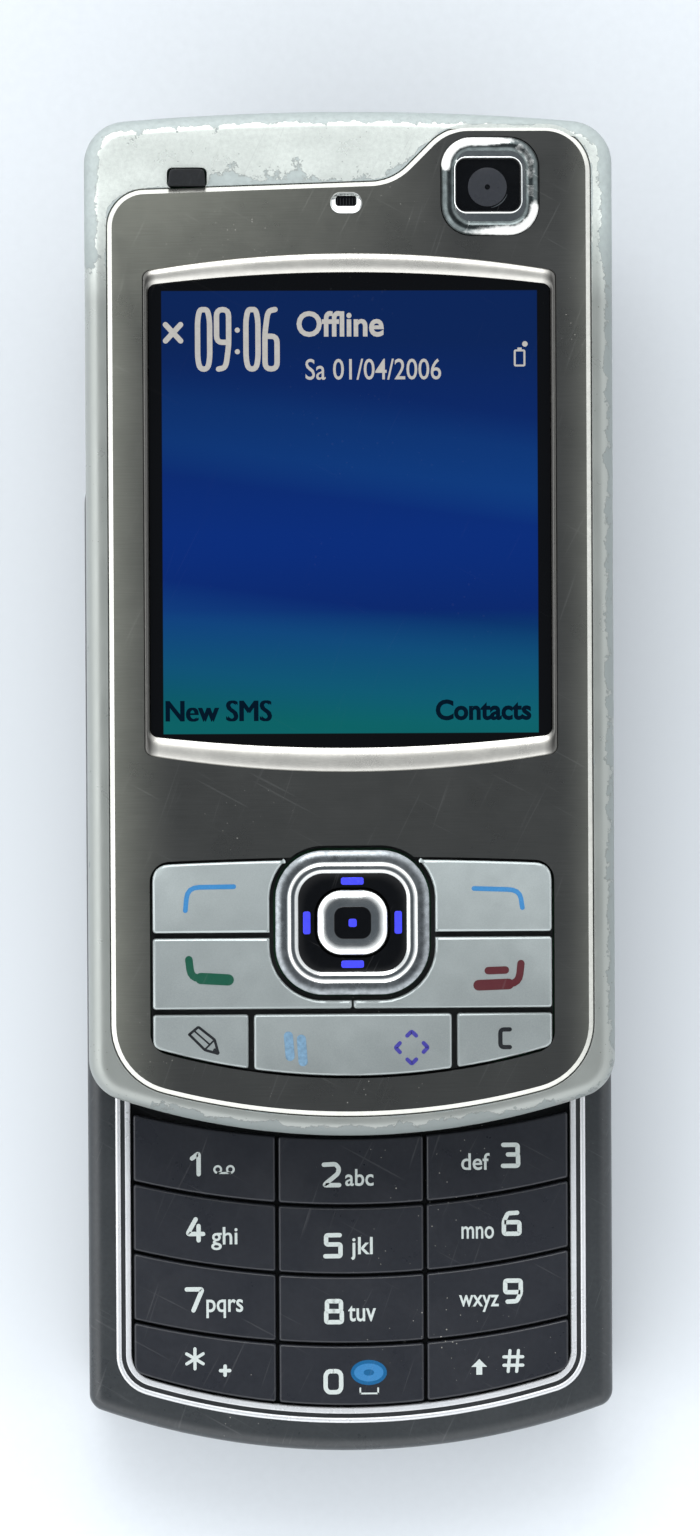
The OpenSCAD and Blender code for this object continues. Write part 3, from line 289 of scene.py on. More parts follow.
def offset(loop, inset):
    """The loop moved inwards: each point goes along the mitre of its two edges' normals."""
    if inset == 0:
        return loop
    edge = np.roll(loop, -1, 0) - loop
    normal = np.stack([-edge[:, 1], edge[:, 0]], 1) / np.hypot(*edge.T)[:, None]
    before = np.roll(normal, 1, 0)
    both = normal + before
    return loop + inset * both / (1 + (normal * before).sum(1))[:, None]


def rounded(loop, r, n=4):
    """Sharp corners of the loop replaced by arcs; r is one radius or one for each point."""
    loop = np.asarray(loop, float)
    before, after = np.roll(loop, 1, 0), np.roll(loop, -1, 0)
    out = []
    for p, q, s, r in zip(loop, before, after, np.broadcast_to(r, len(loop))):
        u, v = q - p, s - p
        lu, lv = np.hypot(*u), np.hypot(*v)
        u, v = u / lu, v / lv
        turn = math.pi - math.acos(max(-1.0, min(1.0, float(u @ v))))
        if turn < 0.4:
            out.append(p[None])
            continue
        t = min(r * math.tan(turn / 2), 0.45 * lu, 0.45 * lv)
        k = np.linspace(0, 1, n)[:, None]
        out.append((1 - k) ** 2 * (p + u * t) + 2 * k * (1 - k) * p + k ** 2 * (p + v * t))
    return np.concatenate(out)


def inside(points, loops):
    """Which points lie inside the loops, by the even-odd rule."""
    count = np.zeros(len(points), int)
    x, y = points[:, :1], points[:, 1:]
    for loop in loops:
        a, b = loop, np.roll(loop, -1, 0)
        rise = np.where(a[:, 1] == b[:, 1], 1e-12, b[:, 1] - a[:, 1])
        crossed = (a[:, 1] > y) != (b[:, 1] > y)
        count += (crossed & (x < a[:, 0] + (y - a[:, 1]) * (b[:, 0] - a[:, 0]) / rise)).sum(1)
    return count % 2 == 1


def filled(loops, step=0.0):
    """Triangles that fill the first loop and leave out the others.

    step adds points inside, for a curved top.
    """
    points = np.concatenate(loops)
    edges, start = [], 0
    for loop in loops:
        k = np.arange(len(loop))
        edges += np.stack([start + k, start + (k + 1) % len(loop)], 1).tolist()
        start += len(loop)
    if step:
        low, high = points.min(0), points.max(0)
        grid = np.stack(np.meshgrid(np.arange(low[0], high[0], step), np.arange(low[1], high[1], step)), -1)
        grid = grid.reshape(-1, 2)
        grid = grid[inside(grid, loops)]
        near = np.array([np.hypot(*(points - g).T).min() for g in grid]) if len(grid) else np.zeros(0)
        points = np.concatenate([points, grid[near > step * 0.5]]) if len(grid) else points
    flat, _, faces, *_ = delaunay_2d_cdt([Vector(p) for p in points], edges, [], 0, 1e-6)
    flat, faces = np.array([tuple(v) for v in flat]), np.array([tuple(f) for f in faces])
    return flat, faces[inside(flat[faces].mean(1), loops)]


# ------------------------------------------------------------------ meshes


class Surface:
    """Collects grids and fills, worked out as whole arrays, and makes one mesh of them."""

    def __init__(self):
        self.points, self.faces, self.slots, self.marks, self.count = [], [], [], [], 0

    def add(self, points, faces, slot=0, mark=0.0):
        points = np.asarray(points, float).reshape(-1, 3)
        faces = np.asarray(faces, int)
        self.points.append(points)
        self.marks.append(np.broadcast_to(np.asarray(mark, float), len(points)))
        self.faces += (faces + self.count).tolist()
        self.slots += np.broadcast_to(np.asarray(slot, int), len(faces)).tolist()
        self.count += len(points)
        return self

    def grid(self, rows, slot=0, mark=0.0, closed=True):
        """Quads between rows of points; slot and mark may differ from row to row."""
        rows = np.asarray(rows, float)
        m, n = rows.shape[:2]
        i, j = np.meshgrid(np.arange(m - 1), np.arange(n if closed else n - 1), indexing="ij")
        k = (j + 1) % n
        quads = np.stack([i * n + j, i * n + k, (i + 1) * n + k, (i + 1) * n + j], -1)
        slot = np.broadcast_to(np.asarray(slot, int).reshape(-1, 1), i.shape)
        mark = np.asarray(mark, float)
        mark = np.broadcast_to(mark if mark.ndim == 2 else mark.reshape(-1, 1), (m, n))
        return self.add(rows, quads.reshape(-1, 4), slot.ravel(), mark.ravel())

    def rings(self, loops, heights, slot=0, mark=0.0):
        """A profile carried round loops that match point for point: a loop and a height for each level."""
        rows = [np.column_stack([p, np.broadcast_to(z, len(p))]) for p, z in zip(loops, heights)]
        return self.grid(rows, slot, mark)

    def cap(self, loops, z, slot=0, step=0.0, crown=None):
        """A lid over the loops at height z; crown(x, y) is added to the height."""
        loops = [loops] if isinstance(loops, np.ndarray) else loops
        flat, faces = filled(loops, step)
        rise = crown(flat[:, 0], flat[:, 1]) if crown else 0.0
        return self.add(np.column_stack([flat, np.broadcast_to(z + rise, len(flat))]), faces, slot)

    def prism(self, loop, z0, z1, slot=0, bevel=0.0, steps=3, holes=(), step=0.0, crown=None):
        """A closed block over the loop, with its upper edge rounded by bevel and holes through it.

        Level k of the rounding, for t = 0..90 degrees: inset bevel (1 - cos t), drop bevel (1 - sin t).
        """
        t = np.radians(np.linspace(0, 90, steps + 1)) if bevel else np.zeros(1)
        loops = [loop] + [offset(loop, inset) for inset in bevel * (1 - np.cos(t))]
        self.rings(loops, [z0, *(z1 - bevel * (1 - np.sin(t)))], slot)
        for hole in holes:
            self.rings([hole, hole], [z0, z1], slot)
        self.cap([loops[0], *holes], z0, slot)
        return self.cap([loops[-1], *holes], z1, slot, step, crown)

    def sweep(self, rows, slot=0):
        """A closed profile carried along an open path, with both ends closed; rows[k] is point k's path."""
        rows = np.asarray(rows, float)
        self.grid(np.concatenate([rows, rows[:1]]), slot, closed=False)
        for end in (rows[:, 0], rows[:, -1]):
            self.add(end, [list(range(len(end)))])
        return self

    def mesh(self, name, crease=34.0):
        """The mesh in metres: doubles merged, faces pointing outwards, edges sharper than crease kept."""
        me = bpy.data.meshes.new(name)
        me.from_pydata((np.concatenate(self.points) * MM).tolist(), [], self.faces)
        me.polygons.foreach_set("material_index", self.slots)
        # The "wear" attribute holds each point's mark: where the frame's paint is likely worn, and where the
        # camera surround's highlights are painted.
        layer = me.attributes.new("wear", "FLOAT", "POINT")
        layer.data.foreach_set("value", np.concatenate(self.marks).astype(np.float32))
        bm = bmesh.new()
        bm.from_mesh(me)
        bmesh.ops.remove_doubles(bm, verts=bm.verts, dist=2e-7)
        bmesh.ops.dissolve_degenerate(bm, dist=1e-7, edges=bm.edges)
        bmesh.ops.recalc_face_normals(bm, faces=bm.faces)
        bm.to_mesh(me)
        bm.free()
        smooth(me, crease)
        return me

    def piece(self, name, body, finishes, replaces=None, slot=None, crease=32.0, cuts=()):
        """An object of this surface with its finishes, which rides on a body and stands for a CAD node."""
        ob = bpy.data.objects.new(name, self.mesh(name, crease))
        bpy.context.scene.collection.objects.link(ob)
        if cuts:
            cut(ob, cuts, crease)
        for finish_name in finishes.split():
            ob.data.materials.append(mat(finish_name))
        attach(ob, body)
        if replaces:
            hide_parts(replaces)
        ob.modifiers.new("normals", "WEIGHTED_NORMAL").keep_sharp = True


def smooth(me, crease):
    me.polygons.foreach_set("use_smooth", np.ones(len(me.polygons), bool))
    me.set_sharp_from_angle(angle=math.radians(crease))


def cut(ob, cutters, crease):
    """Takes the cutter surfaces out of the object, one after another, and keeps the result as its mesh."""
    tools = []
    for k, cutter in enumerate(cutters):
        tool = bpy.data.objects.new("cutter", cutter.mesh("cutter"))
        bpy.context.scene.collection.objects.link(tool)
        mod = ob.modifiers.new(f"cut {k}", "BOOLEAN")
        mod.operation, mod.solver, mod.object = "DIFFERENCE", "EXACT", tool
        tools.append(tool)
    graph = bpy.context.evaluated_depsgraph_get()
    made = bpy.data.meshes.new_from_object(ob.evaluated_get(graph), depsgraph=graph)
    ob.modifiers.clear()
    old, ob.data = ob.data, made
    for me in [old, *(tool.data for tool in tools)]:
        bpy.data.meshes.remove(me)
    if len(made.polygons) < 6:
        raise RuntimeError(f"{ob.name}: the cut left nothing")
    smooth(made, crease)


def box(x0, x1, y0, y1):
    return np.array([[x0, y0], [x1, y0], [x1, y1], [x0, y1]], float)


def disc(x, y, r, n=48):
    return arc(x, y, r, 0, 360 * (1 - 1 / n), n)


def glyphs(text, height, width, bold):
    """Outlines of generic lettering as points and faces, scaled to height and width about the middle."""
    curve = bpy.data.curves.new("lettering", "FONT")
    curve.body, curve.size, curve.extrude, curve.offset, curve.resolution_u = text, 1.0, 0.05, bold, 4
    ob = bpy.data.objects.new("lettering", curve)
    bpy.context.scene.collection.objects.link(ob)
    graph = bpy.context.evaluated_depsgraph_get()
    me = bpy.data.meshes.new_from_object(ob.evaluated_get(graph), depsgraph=graph)
    points = np.zeros(len(me.vertices) * 3)
    me.vertices.foreach_get("co", points)
    points = points.reshape(-1, 3)
    faces = [list(p.vertices) for p in me.polygons]
    bpy.data.objects.remove(ob)
    bpy.data.curves.remove(curve)
    bpy.data.meshes.remove(me)
    low, high = points.min(0), points.max(0)
    return (points - (low + high) / 2) / (high - low) * [width, height, 1.0], faces


def write(surface, text, x, y, z, height, width, bold, thick, slot=0):
    """Puts lettering on a surface, its foot at height z."""
    points, faces = glyphs(text, height, width, bold)
    place = np.column_stack([points[:, :2] + [x, y], z + (points[:, 2] + 0.5) * thick])
    surface.points.append(place)
    surface.marks.append(np.zeros(len(place)))
    surface.faces += [[i + surface.count for i in f] for f in faces]
    surface.slots += [slot] * len(faces)
    surface.count += len(place)


def bent(line, r, n=5):
    """An open line with its inner corners rounded by r."""
    line = np.asarray(line, float)
    out = [line[:1]]
    for q, p, s in zip(line[:-2], line[1:-1], line[2:]):
        u, v = q - p, s - p
        lu, lv = np.hypot(*u), np.hypot(*v)
        tu, tv = min(r, 0.48 * lu), min(r, 0.48 * lv)
        k = np.linspace(0, 1, n)[:, None]
        out.append((1 - k) ** 2 * (p + u * tu / lu) + 2 * k * (1 - k) * p + k ** 2 * (p + v * tv / lv))
    return np.concatenate([*out, line[-1:]])


def draw(surface, line, width, z, slot=0, thick=0.012, r=0.25):
    """A printed band along a line of points at height z, with round ends."""
    line = bent(line, r)
    d = np.gradient(line, axis=0)
    n = np.stack([-d[:, 1], d[:, 0]], 1) / np.hypot(*d.T)[:, None] * width / 2
    paths = [(line - n, z), (line - n, z + thick), (line + n, z + thick), (line + n, z)]
    surface.sweep([np.column_stack([p, np.full(len(p), h)]) for p, h in paths], slot)
    for point in (line[0], line[-1]):
        surface.prism(disc(*point, width / 2, 14), z, z + thick * 0.7, slot)


# lines of each sign in a box from -1 to 1
SIGNS = {
    "0": [[(0, 1), (0.65, 1), (1, 0.65), (1, -0.65), (0.65, -1), (-0.65, -1), (-1, -0.65), (-1, 0.65), (-0.65, 1),
           (0, 1)]],
    "1": [[(-0.5, 0.5), (0.35, 1), (0.35, -1)]],
    "2": [[(-0.95, 0.95), (0.55, 1), (1, 0.6), (0.85, 0.1), (-0.95, -1), (1, -1)]],
    "3": [[(-0.9, 1), (0.95, 1), (0.95, 0.08), (-0.3, 0.08)], [(0.4, 0.08), (1, 0.08), (1, -1), (-0.95, -1)]],
    "4": [[(0.05, 1), (-1, -0.4), (1, -0.4)], [(0.42, 0.35), (0.42, -1)]],
    "5": [[(0.9, 1), (-0.85, 1), (-0.85, 0.12), (1, 0.12), (1, -1), (-0.95, -1)]],
    "6": [[(0.7, 1), (-0.5, 0.95), (-1, 0.2), (-1, -1), (1, -1), (1, 0.1), (-0.95, 0.1)]],
    "7": [[(-1, 1), (1, 1), (-0.15, -1)]],
    "8": [[(0, 1), (0.9, 1), (0.9, 0.05), (-0.9, 0.05), (-0.9, 1), (0, 1)],
          [(0, 0.05), (1, 0.05), (1, -1), (-1, -1), (-1, 0.05), (0, 0.05)]],
    "9": [[(-0.7, -1), (0.5, -0.95), (1, -0.2), (1, 1), (-1, 1), (-1, -0.1), (0.95, -0.1)]],
    "*": [[(0, 1), (0, -1)], [(-0.87, 0.5), (0.87, -0.5)], [(-0.87, -0.5), (0.87, 0.5)]],
    "#": [[(-0.35, 1), (-0.55, -1)], [(0.55, 1), (0.35, -1)], [(-1, 0.4), (1, 0.4)], [(-1, -0.4), (1, -0.4)]],
    "+": [[(0, 1), (0, -1)], [(-1, 0), (1, 0)]],
    "C": [[(0.95, 1), (-1, 1), (-1, -1), (0.95, -1)]],
}


def sign(surface, text, x, y, z, height, width, line, slot=0, thick=0.012, r=0.34):
    """One sign in bands of width line, its outer size height and width."""
    for k, path in enumerate(SIGNS[text]):
        at = np.array(path) * [(width - line) / 2, (height - line) / 2] + [x, y]
        draw(surface, at, line, z, slot, thick + 0.003 * k, r)


def stroke(line, width):
    """The outline of a band along a line of points, with round ends; width may differ from point to point."""
    line = np.asarray(line, float)
    w = np.broadcast_to(np.asarray(width, float) / 2, len(line))
    d = np.gradient(line, axis=0)
    d /= np.hypot(*d.T)[:, None]
    n = np.stack([-d[:, 1], d[:, 0]], 1) * w[:, None]
    a0, a1 = (math.degrees(math.atan2(d[k, 1], d[k, 0])) for k in (0, -1))
    return np.concatenate([line - n, arc(*line[-1], w[-1], a1 - 90, a1 + 90, 7)[1:-1], (line + n)[::-1],
                           arc(*line[0], w[0], a0 + 90, a0 + 270, 7)[1:-1]])


# ------------------------------------------------------------------ finishes


class Nodes:
    """Adds shader nodes to a tree; an input is a value or another node's output."""

    def __init__(self, tree):
        self.tree = tree

    def feed(self, target, value):
        """Links an output to an input or sets its value, and gives a colour its alpha."""
        if isinstance(value, bpy.types.NodeSocket):
            self.tree.links.new(value, target)
        else:
            target.default_value = (*value, 1.0) if target.type == "RGBA" else value

    def add(self, kind, inputs=None, out=0, **settings):
        node = self.tree.nodes.new("ShaderNode" + kind)
        for key, value in settings.items():
            setattr(node, key, value)
        for key, value in (inputs or {}).items():
            self.feed(node.inputs[key], value)
        return node.outputs[out]

    def math(self, operation, a, b=0.0, clamp=False):
        return self.add("Math", {0: a, 1: b}, operation=operation, use_clamp=clamp)

    def times(self, a, b):
        return self.math("MULTIPLY", a, b)

    def most(self, a, b):
        return self.math("MAXIMUM", a, b)

    def mix(self, factor, a, b):
        return self.add("Mix", {0: factor, 6: a, 7: b}, out=2, data_type="RGBA")

    def lay(self, mask, share, under, over):
        """The colour over laid on the colour under, by a share of the mask."""
        return self.mix(self.times(mask, share), under, over)

    def mapped(self, value, low, high, to_low=0.0, to_high=1.0):
        """value from low..high to to_low..to_high, held at the ends."""
        return self.add("MapRange", {"Value": value, "From Min": low, "From Max": high,
                                     "To Min": to_low, "To Max": to_high})

    def vary(self, mark, a, b):
        """From colour a to colour b as grain or brushing rises."""
        return self.mix(self.mapped(mark, 0.3, 0.7), a, b)

    def along(self, axis, zero=0.0):
        """Object coordinate 0, 1 or 2 in millimetres, counted from zero."""
        at = self.add("SeparateXYZ", {0: self.add("TexCoord", out=3)}, out=axis)
        return self.times(self.math("SUBTRACT", at, zero * MM) if zero else at, 1000.0)

    def places(self, size, stretch=(1.0, 1.0, 1.0), turn=0.0):
        """Object coordinates counted in steps of size millimetres, turned about Z and stretched."""
        at = self.add("TexCoord", out=3)
        if turn:
            at = self.add("VectorRotate", {"Vector": at, "Angle": turn}, rotation_type="Z_AXIS")
        per = self.math("DIVIDE", 1000.0, size)
        at = self.add("VectorMath", {0: at, "Scale": per}, operation="SCALE")
        return self.add("VectorMath", {0: at, 1: stretch}, operation="MULTIPLY")

    def noise(self, at, detail=3.0, rough=0.6):
        return self.add("TexNoise", {"Vector": at, "Scale": 1.0, "Detail": detail, "Roughness": rough})


def effect(name, inputs, build):
    """A shader group with one output, Mask; inputs are (name, default) pairs."""
    tree = bpy.data.node_groups.new(name, "ShaderNodeTree")
    for label, default in inputs:
        socket = tree.interface.new_socket(name=label, in_out="INPUT", socket_type="NodeSocketFloat")
        socket.default_value = default
    tree.interface.new_socket(name="Mask", in_out="OUTPUT", socket_type="NodeSocketFloat")
    source, result = tree.nodes.new("NodeGroupInput"), tree.nodes.new("NodeGroupOutput")
    tree.links.new(build(Nodes(tree), source.outputs), result.inputs[0])


def make_effects():
    """Grain, brushing, smudges, scratches, chips and dust, each built once for all finishes."""
    effect("grain", [("Size", 0.4)], lambda n, i: n.noise(n.places(i["Size"]), 4.0))
    effect("brushing", [("Size", 0.12)], lambda n, i: n.noise(n.places(i["Size"], (0.02, 1.0, 1.0)), 2.0))
    effect("smudges", [("Size", 9.0)],
           lambda n, i: n.mapped(n.noise(n.places(i["Size"], (1, 1, 1), 0.6), 5.0, 0.7), 0.36, 0.66))

    def scratches(n, i):
        streak = [n.mapped(n.noise(n.places(i["Size"], (0.03, 1.0, 0.3), turn), 1.0), 0.70, 0.76)
                  for turn in (0.5, -1.1, 1.9)]
        return n.times(n.most(n.most(streak[0], streak[1]), streak[2]), i["Amount"])

    effect("scratches", [("Size", 0.35), ("Amount", 1.0)], scratches)

    def chips(n, i):
        ragged = n.noise(n.places(i["Size"]), 6.0, 0.68)
        limit = n.math("SUBTRACT", 0.76, n.times(i["Wear"], i["Amount"]))
        return n.math("MULTIPLY", n.math("SUBTRACT", ragged, limit), 26.0, clamp=True)

    effect("chips", [("Size", 2.2), ("Wear", 0.5), ("Amount", 0.5)], chips)

    def dust(n, i):
        spot = n.add("TexVoronoi", {"Vector": n.places(i["Size"]), "Scale": 1.0, "Randomness": 1.0})
        far = n.noise(n.places(14.0), 3.0)
        reach = n.times(n.mapped(far, 0.45, 0.75, 0.0, 0.2), i["Amount"])
        return n.math("MULTIPLY", n.math("SUBTRACT", reach, spot), 30.0, clamp=True)

    effect("dust", [("Size", 0.7), ("Amount", 1.0)], dust)


class Finish:
    """One material: a Principled shader and the effects that feed it."""

    def __init__(self, name, rough, metal=0.0, coat=0.0, level=0.5):
        self.material = bpy.data.materials.new("look_" + name)
        self.material.use_nodes = True
        tree = self.material.node_tree
        tree.nodes.clear()
        self.n = Nodes(tree)
        self.shader = tree.nodes.new("ShaderNodeBsdfPrincipled")
        end = tree.nodes.new("ShaderNodeOutputMaterial")
        tree.links.new(self.shader.outputs[0], end.inputs[0])
        self.set("Roughness", rough).set("Metallic", metal).set("Specular IOR Level", level)
        self.set("Coat Weight", coat).set("Coat Roughness", 0.08)

    def set(self, socket, value):
        self.n.feed(self.shader.inputs[socket], value)
        return self

    def effect(self, name, **inputs):
        node = self.n.tree.nodes.new("ShaderNodeGroup")
        node.node_tree = bpy.data.node_groups[name]
        for key, value in inputs.items():
            self.n.feed(node.inputs[key], value)
        return node.outputs[0]

    def bump(self, height, distance, strength=0.5):
        """distance is the height of the bumps in millimetres."""
        return self.set("Normal", self.n.add("Bump", {"Height": height, "Distance": distance * MM,
                                                      "Strength": strength}))


def tone(rgb, factor):
    return tuple(min(1.0, c * factor) for c in rgb)


def surface_finish(name, base, rough, metal=0.0, coat=0.0, size=0.3, vary=0.1, brushed=False,
                   scratch=0.12, dust=0.4, bump=0.01, level=0.5, shade_along_y=None, sides=None):
    """The common finish: colour and height vary with grain or brushing, gloss with smudges and scratches.

    base is a colour of 0 to 255, or the name of one that a user may change. shade_along_y darkens the piece
    along Y and sides darkens it away from its middle, both as painted shade: start, end and the share of black.
    """
    base = tuple(getattr(finish(), base)) if isinstance(base, str) else srgb(*base)
    smear = 0.12
    f = Finish(name, rough, metal, coat, level)
    n = f.n
    mark = f.effect("brushing", Size=0.12) if brushed else f.effect("grain", Size=size)
    lines = f.effect("scratches", Size=0.35, Amount=scratch)
    smudge = f.effect("smudges", Size=9.0)
    specks = f.effect("dust", Size=0.7, Amount=dust * finish().dust * 3)
    body = n.vary(mark, tone(base, 1 - vary), tone(base, 1 + vary))
    # Painted shade: shade_along_y darkens along Y, and sides darkens away from the middle.
    if shade_along_y:
        body = n.mix(n.mapped(n.along(1), *shade_along_y, 0.0), body, BLACK)
    if sides:
        start, end, side_shade_share = sides
        across = n.math("ABSOLUTE", n.along(0))
        body = n.mix(n.mapped(across, start, end, 0.0, side_shade_share), body, BLACK)
    body = n.lay(lines, 0.35, body, tuple(0.4 * c + 0.3 for c in base))
    f.set("Base Color", n.lay(specks, 0.6, body, srgb(170, 168, 160)))
    gloss = n.mapped(smudge, 0.0, 1.0, max(0.02, rough - smear * rough), min(1.0, rough + smear))
    f.set("Roughness", n.math("ADD", gloss, n.times(n.most(lines, specks), 0.25), clamp=True))
    f.bump(n.math("SUBTRACT", mark, n.times(lines, 1.5)), bump)


# the finishes that surface_finish makes, with its values where they differ from its own
FINISHES = {
    "plate_edge": dict(base=(190, 190, 183), rough=0.24, metal=0.9, size=0.5, vary=0.08, bump=0.0005),
    "chrome": dict(base="bright", rough=0.12, metal=1.0, size=0.5, vary=0.06, bump=0.001, scratch=0.1),
    # rim_metal: sides darkens the rim's left and right ends as painted shade.
    "rim_metal": dict(base=(196, 194, 187), rough=0.28, metal=0.6, coat=0.1, size=0.5, vary=0.05,
                      bump=0.0005, scratch=0.1, sides=(17.9, 18.7, 0.85)),
    "satin_metal": dict(base=(168, 172, 170), rough=0.34, metal=0.9, size=0.2, bump=0.004),
    # key_metal: shade_along_y darkens the lower keys as painted shade.
    "key_metal": dict(base="key_metal", rough=0.34, metal=0.5, coat=0.12, size=0.08, vary=0.08, bump=0.003,
                      dust=0.5, shade_along_y=(-26.5, -6.1, 0.3)),
    "matte_band": dict(base=(132, 137, 140), rough=0.26, metal=0.9, coat=0.1, size=0.6, vary=0.3),
    "number_key": dict(base="number_key", rough=0.3, coat=0.08, size=0.5, scratch=0.15, dust=0.8,
                       bump=0.004, level=0.35),
    "housing": dict(base="housing", rough=0.3, coat=0.08, size=0.4, vary=0.12, scratch=0.2, dust=1.0,
                    bump=0.005, level=0.3),
    "back_plastic": dict(base=(50, 53, 55), rough=0.46, size=0.18, vary=0.16, bump=0.02, dust=1.0),
    "gloss_black": dict(base=(8, 9, 11), rough=0.12, size=0.6, vary=0.15, scratch=0.1, dust=0.5,
                        bump=0.002, level=0.3),
    "dark_rubber": dict(base=(24, 26, 28), rough=0.6, size=0.25, vary=0.2, dust=1.0, bump=0.015, level=0.2),
    "dark_groove": dict(base=(46, 48, 48), rough=0.5, metal=0.2, vary=0.2, dust=1.2),
    "lens_grey": dict(base=(46, 48, 52), rough=0.3, level=0.2),
    "steel": dict(base=(150, 152, 154), rough=0.3, metal=1.0, vary=0.12, brushed=True, bump=0.006),
    "screw_steel": dict(base=(120, 122, 124), rough=0.32, metal=1.0, size=0.2, vary=0.15, bump=0.006),
    "clear_window": dict(base=(14, 17, 22), rough=0.08, coat=0.7, size=0.6, dust=0.6, bump=0.002),
    "print_light": dict(base="digits", rough=0.45, size=0.15, vary=0.08, scratch=0.6, dust=0.6),
    "trim_metal": dict(base=(206, 208, 210), rough=0.28, metal=0.3, coat=0.3, vary=0.05, bump=0.001),
    # trim_groove: the trim's groove, darker as painted shade.
    "trim_groove": dict(base=(70, 72, 74), rough=0.4, metal=0.6),
    "print_blue": dict(base=(46, 112, 162), rough=0.4, coat=0.1, size=0.15),
    "print_oval": dict(base=(18, 84, 128), rough=0.3, coat=0.1, size=0.15),
    "print_deep_blue": dict(base=(52, 48, 130), rough=0.4, coat=0.1, size=0.15),
    "print_green": dict(base=(3, 68, 50), rough=0.4, coat=0.1, size=0.15),
    "print_red": dict(base=(72, 24, 30), rough=0.4, coat=0.1, size=0.15),
    "print_dark": dict(base=(26, 28, 31), rough=0.45, size=0.15, level=0.2),
    "print_worn": dict(base=(104, 136, 160), rough=0.45, metal=0.2, vary=0.25),
    "blue_window": dict(base=(62, 66, 232), rough=0.2, coat=0.1),
    "board_green": dict(base=(24, 82, 50), rough=0.4, coat=0.3, size=1.4, vary=0.3, bump=0.03),
    "contact_gold": dict(base=(206, 170, 92), rough=0.25, metal=1.0, vary=0.12),
    "brass": dict(base=(180, 140, 74), rough=0.3, metal=1.0, vary=0.15),
    "battery_skin": dict(base=(112, 128, 146), rough=0.4, metal=0.2, coat=0.1, size=0.6),
    "ribbon": dict(base=(176, 104, 40), rough=0.3, coat=0.4, size=0.5, vary=0.12, brushed=True),
}


def painted_frame():
    """Silver paint that has chipped to bare plastic along the edges; the mesh says where wear is likely. Paint
    and plastic keep their full tone only on the top end's upper face and are darker elsewhere, most down the
    wall: painted light and shade.
    """
    f = Finish("frame_paint", 0.34, 0.35, 0.25)
    n = f.n
    wear = n.add("Attribute", out=2, attribute_name="wear")
    chipped = f.effect("chips", Size=2.4, Wear=wear, Amount=finish().wear * 1.15)
    fine = f.effect("chips", Size=0.7, Wear=wear, Amount=finish().wear * 0.62)
    lost = n.most(chipped, fine)
    kept = n.math("SUBTRACT", 1.0, lost)
    flake = f.effect("grain", Size=0.07)
    lines = f.effect("scratches", Size=0.3, Amount=0.5)
    specks = f.effect("dust", Size=0.6, Amount=0.9)
    # Painted light and shade: lit is 1 only on the top end's upper face; elsewhere paint and bare plastic go
    # darker, most down the wall.
    top_end = n.mapped(n.along(1), SLIDER_Y + 30, SLIDER_Y + 38)
    lit = n.times(top_end, n.mapped(n.along(2), 20.8, 22.2, 0.3, 1.0))
    speckle = n.math("ADD", n.times(flake, 0.5), n.times(f.effect("grain", Size=0.4), 0.5))
    paint = n.mix(n.mapped(speckle, 0.38, 0.62), tone(finish().paint, 0.88), tone(finish().paint, 1.08))
    paint = n.mix(lit, tone(finish().paint, 0.4), paint)
    paint = n.lay(lines, 0.3, paint, srgb(150, 152, 150))
    bare = n.vary(f.effect("grain", Size=0.5), tone(finish().bare, 0.88), tone(finish().bare, 1.08))
    bare = n.mix(lit, tone(finish().bare, 0.55), bare)
    rim = n.mapped(n.math("ABSOLUTE", n.math("SUBTRACT", lost, 0.5)), 0.2, 0.5, 1.0, 0.0)
    body = n.lay(rim, 0.55, n.mix(lost, paint, bare), srgb(84, 88, 86))
    f.set("Base Color", n.lay(specks, 0.7, body, srgb(70, 68, 62)))
    f.set("Metallic", n.times(kept, 0.4))
    smudge = n.mapped(f.effect("smudges", Size=6.0), 0, 1, 0.27, 0.42)
    f.set("Roughness", n.math("ADD", smudge, n.times(lost, 0.16)))
    f.set("Coat Weight", n.times(kept, 0.3))
    f.bump(n.math("SUBTRACT", n.times(flake, 0.02), lost), 0.02, 0.6)


def plate_finish():
    """Dark polished metal, painted paler along its sides and towards the upper left: a painted reflection."""
    f = Finish("plate", 0.3, 0.85, 0.1)
    n = f.n
    x, y = n.along(0), n.along(1, SLIDER_Y)
    # Painted reflection: the colour is paler near both sides and towards the upper left.
    left, right = (n.math("POWER", n.mapped(x, *reach), 2.0) for reach in ((-15.5, -22.4), (19.0, 23.5)))
    corner = n.times(n.mapped(x, 10, -20), n.mapped(y, 20, 40))
    pale = n.most(n.most(left, right), n.times(corner, 0.95))
    base = tuple(finish().plate)
    body = n.mix(pale, base, tuple(min(1, c * k) for c, k in zip(base, (3.9, 3.85, 3.4))))
    fine = f.effect("brushing", Size=0.07)
    body = n.mix(n.mapped(fine, 0.3, 0.7, 0.0, 0.12), body, BLACK)
    lines = f.effect("scratches", Size=0.3, Amount=0.22)
    specks = f.effect("dust", Size=0.6, Amount=0.9)
    body = n.lay(lines, 0.3, body, srgb(170, 172, 170))
    f.set("Base Color", n.lay(specks, 0.6, body, srgb(180, 178, 170)))
    gloss = n.mapped(f.effect("smudges", Size=7.0), 0, 1, 0.27, 0.32)
    f.set("Roughness", n.math("ADD", gloss, n.times(n.most(lines, specks), 0.2)))
    f.bump(n.math("SUBTRACT", fine, n.times(lines, 1.5)), 0.003)


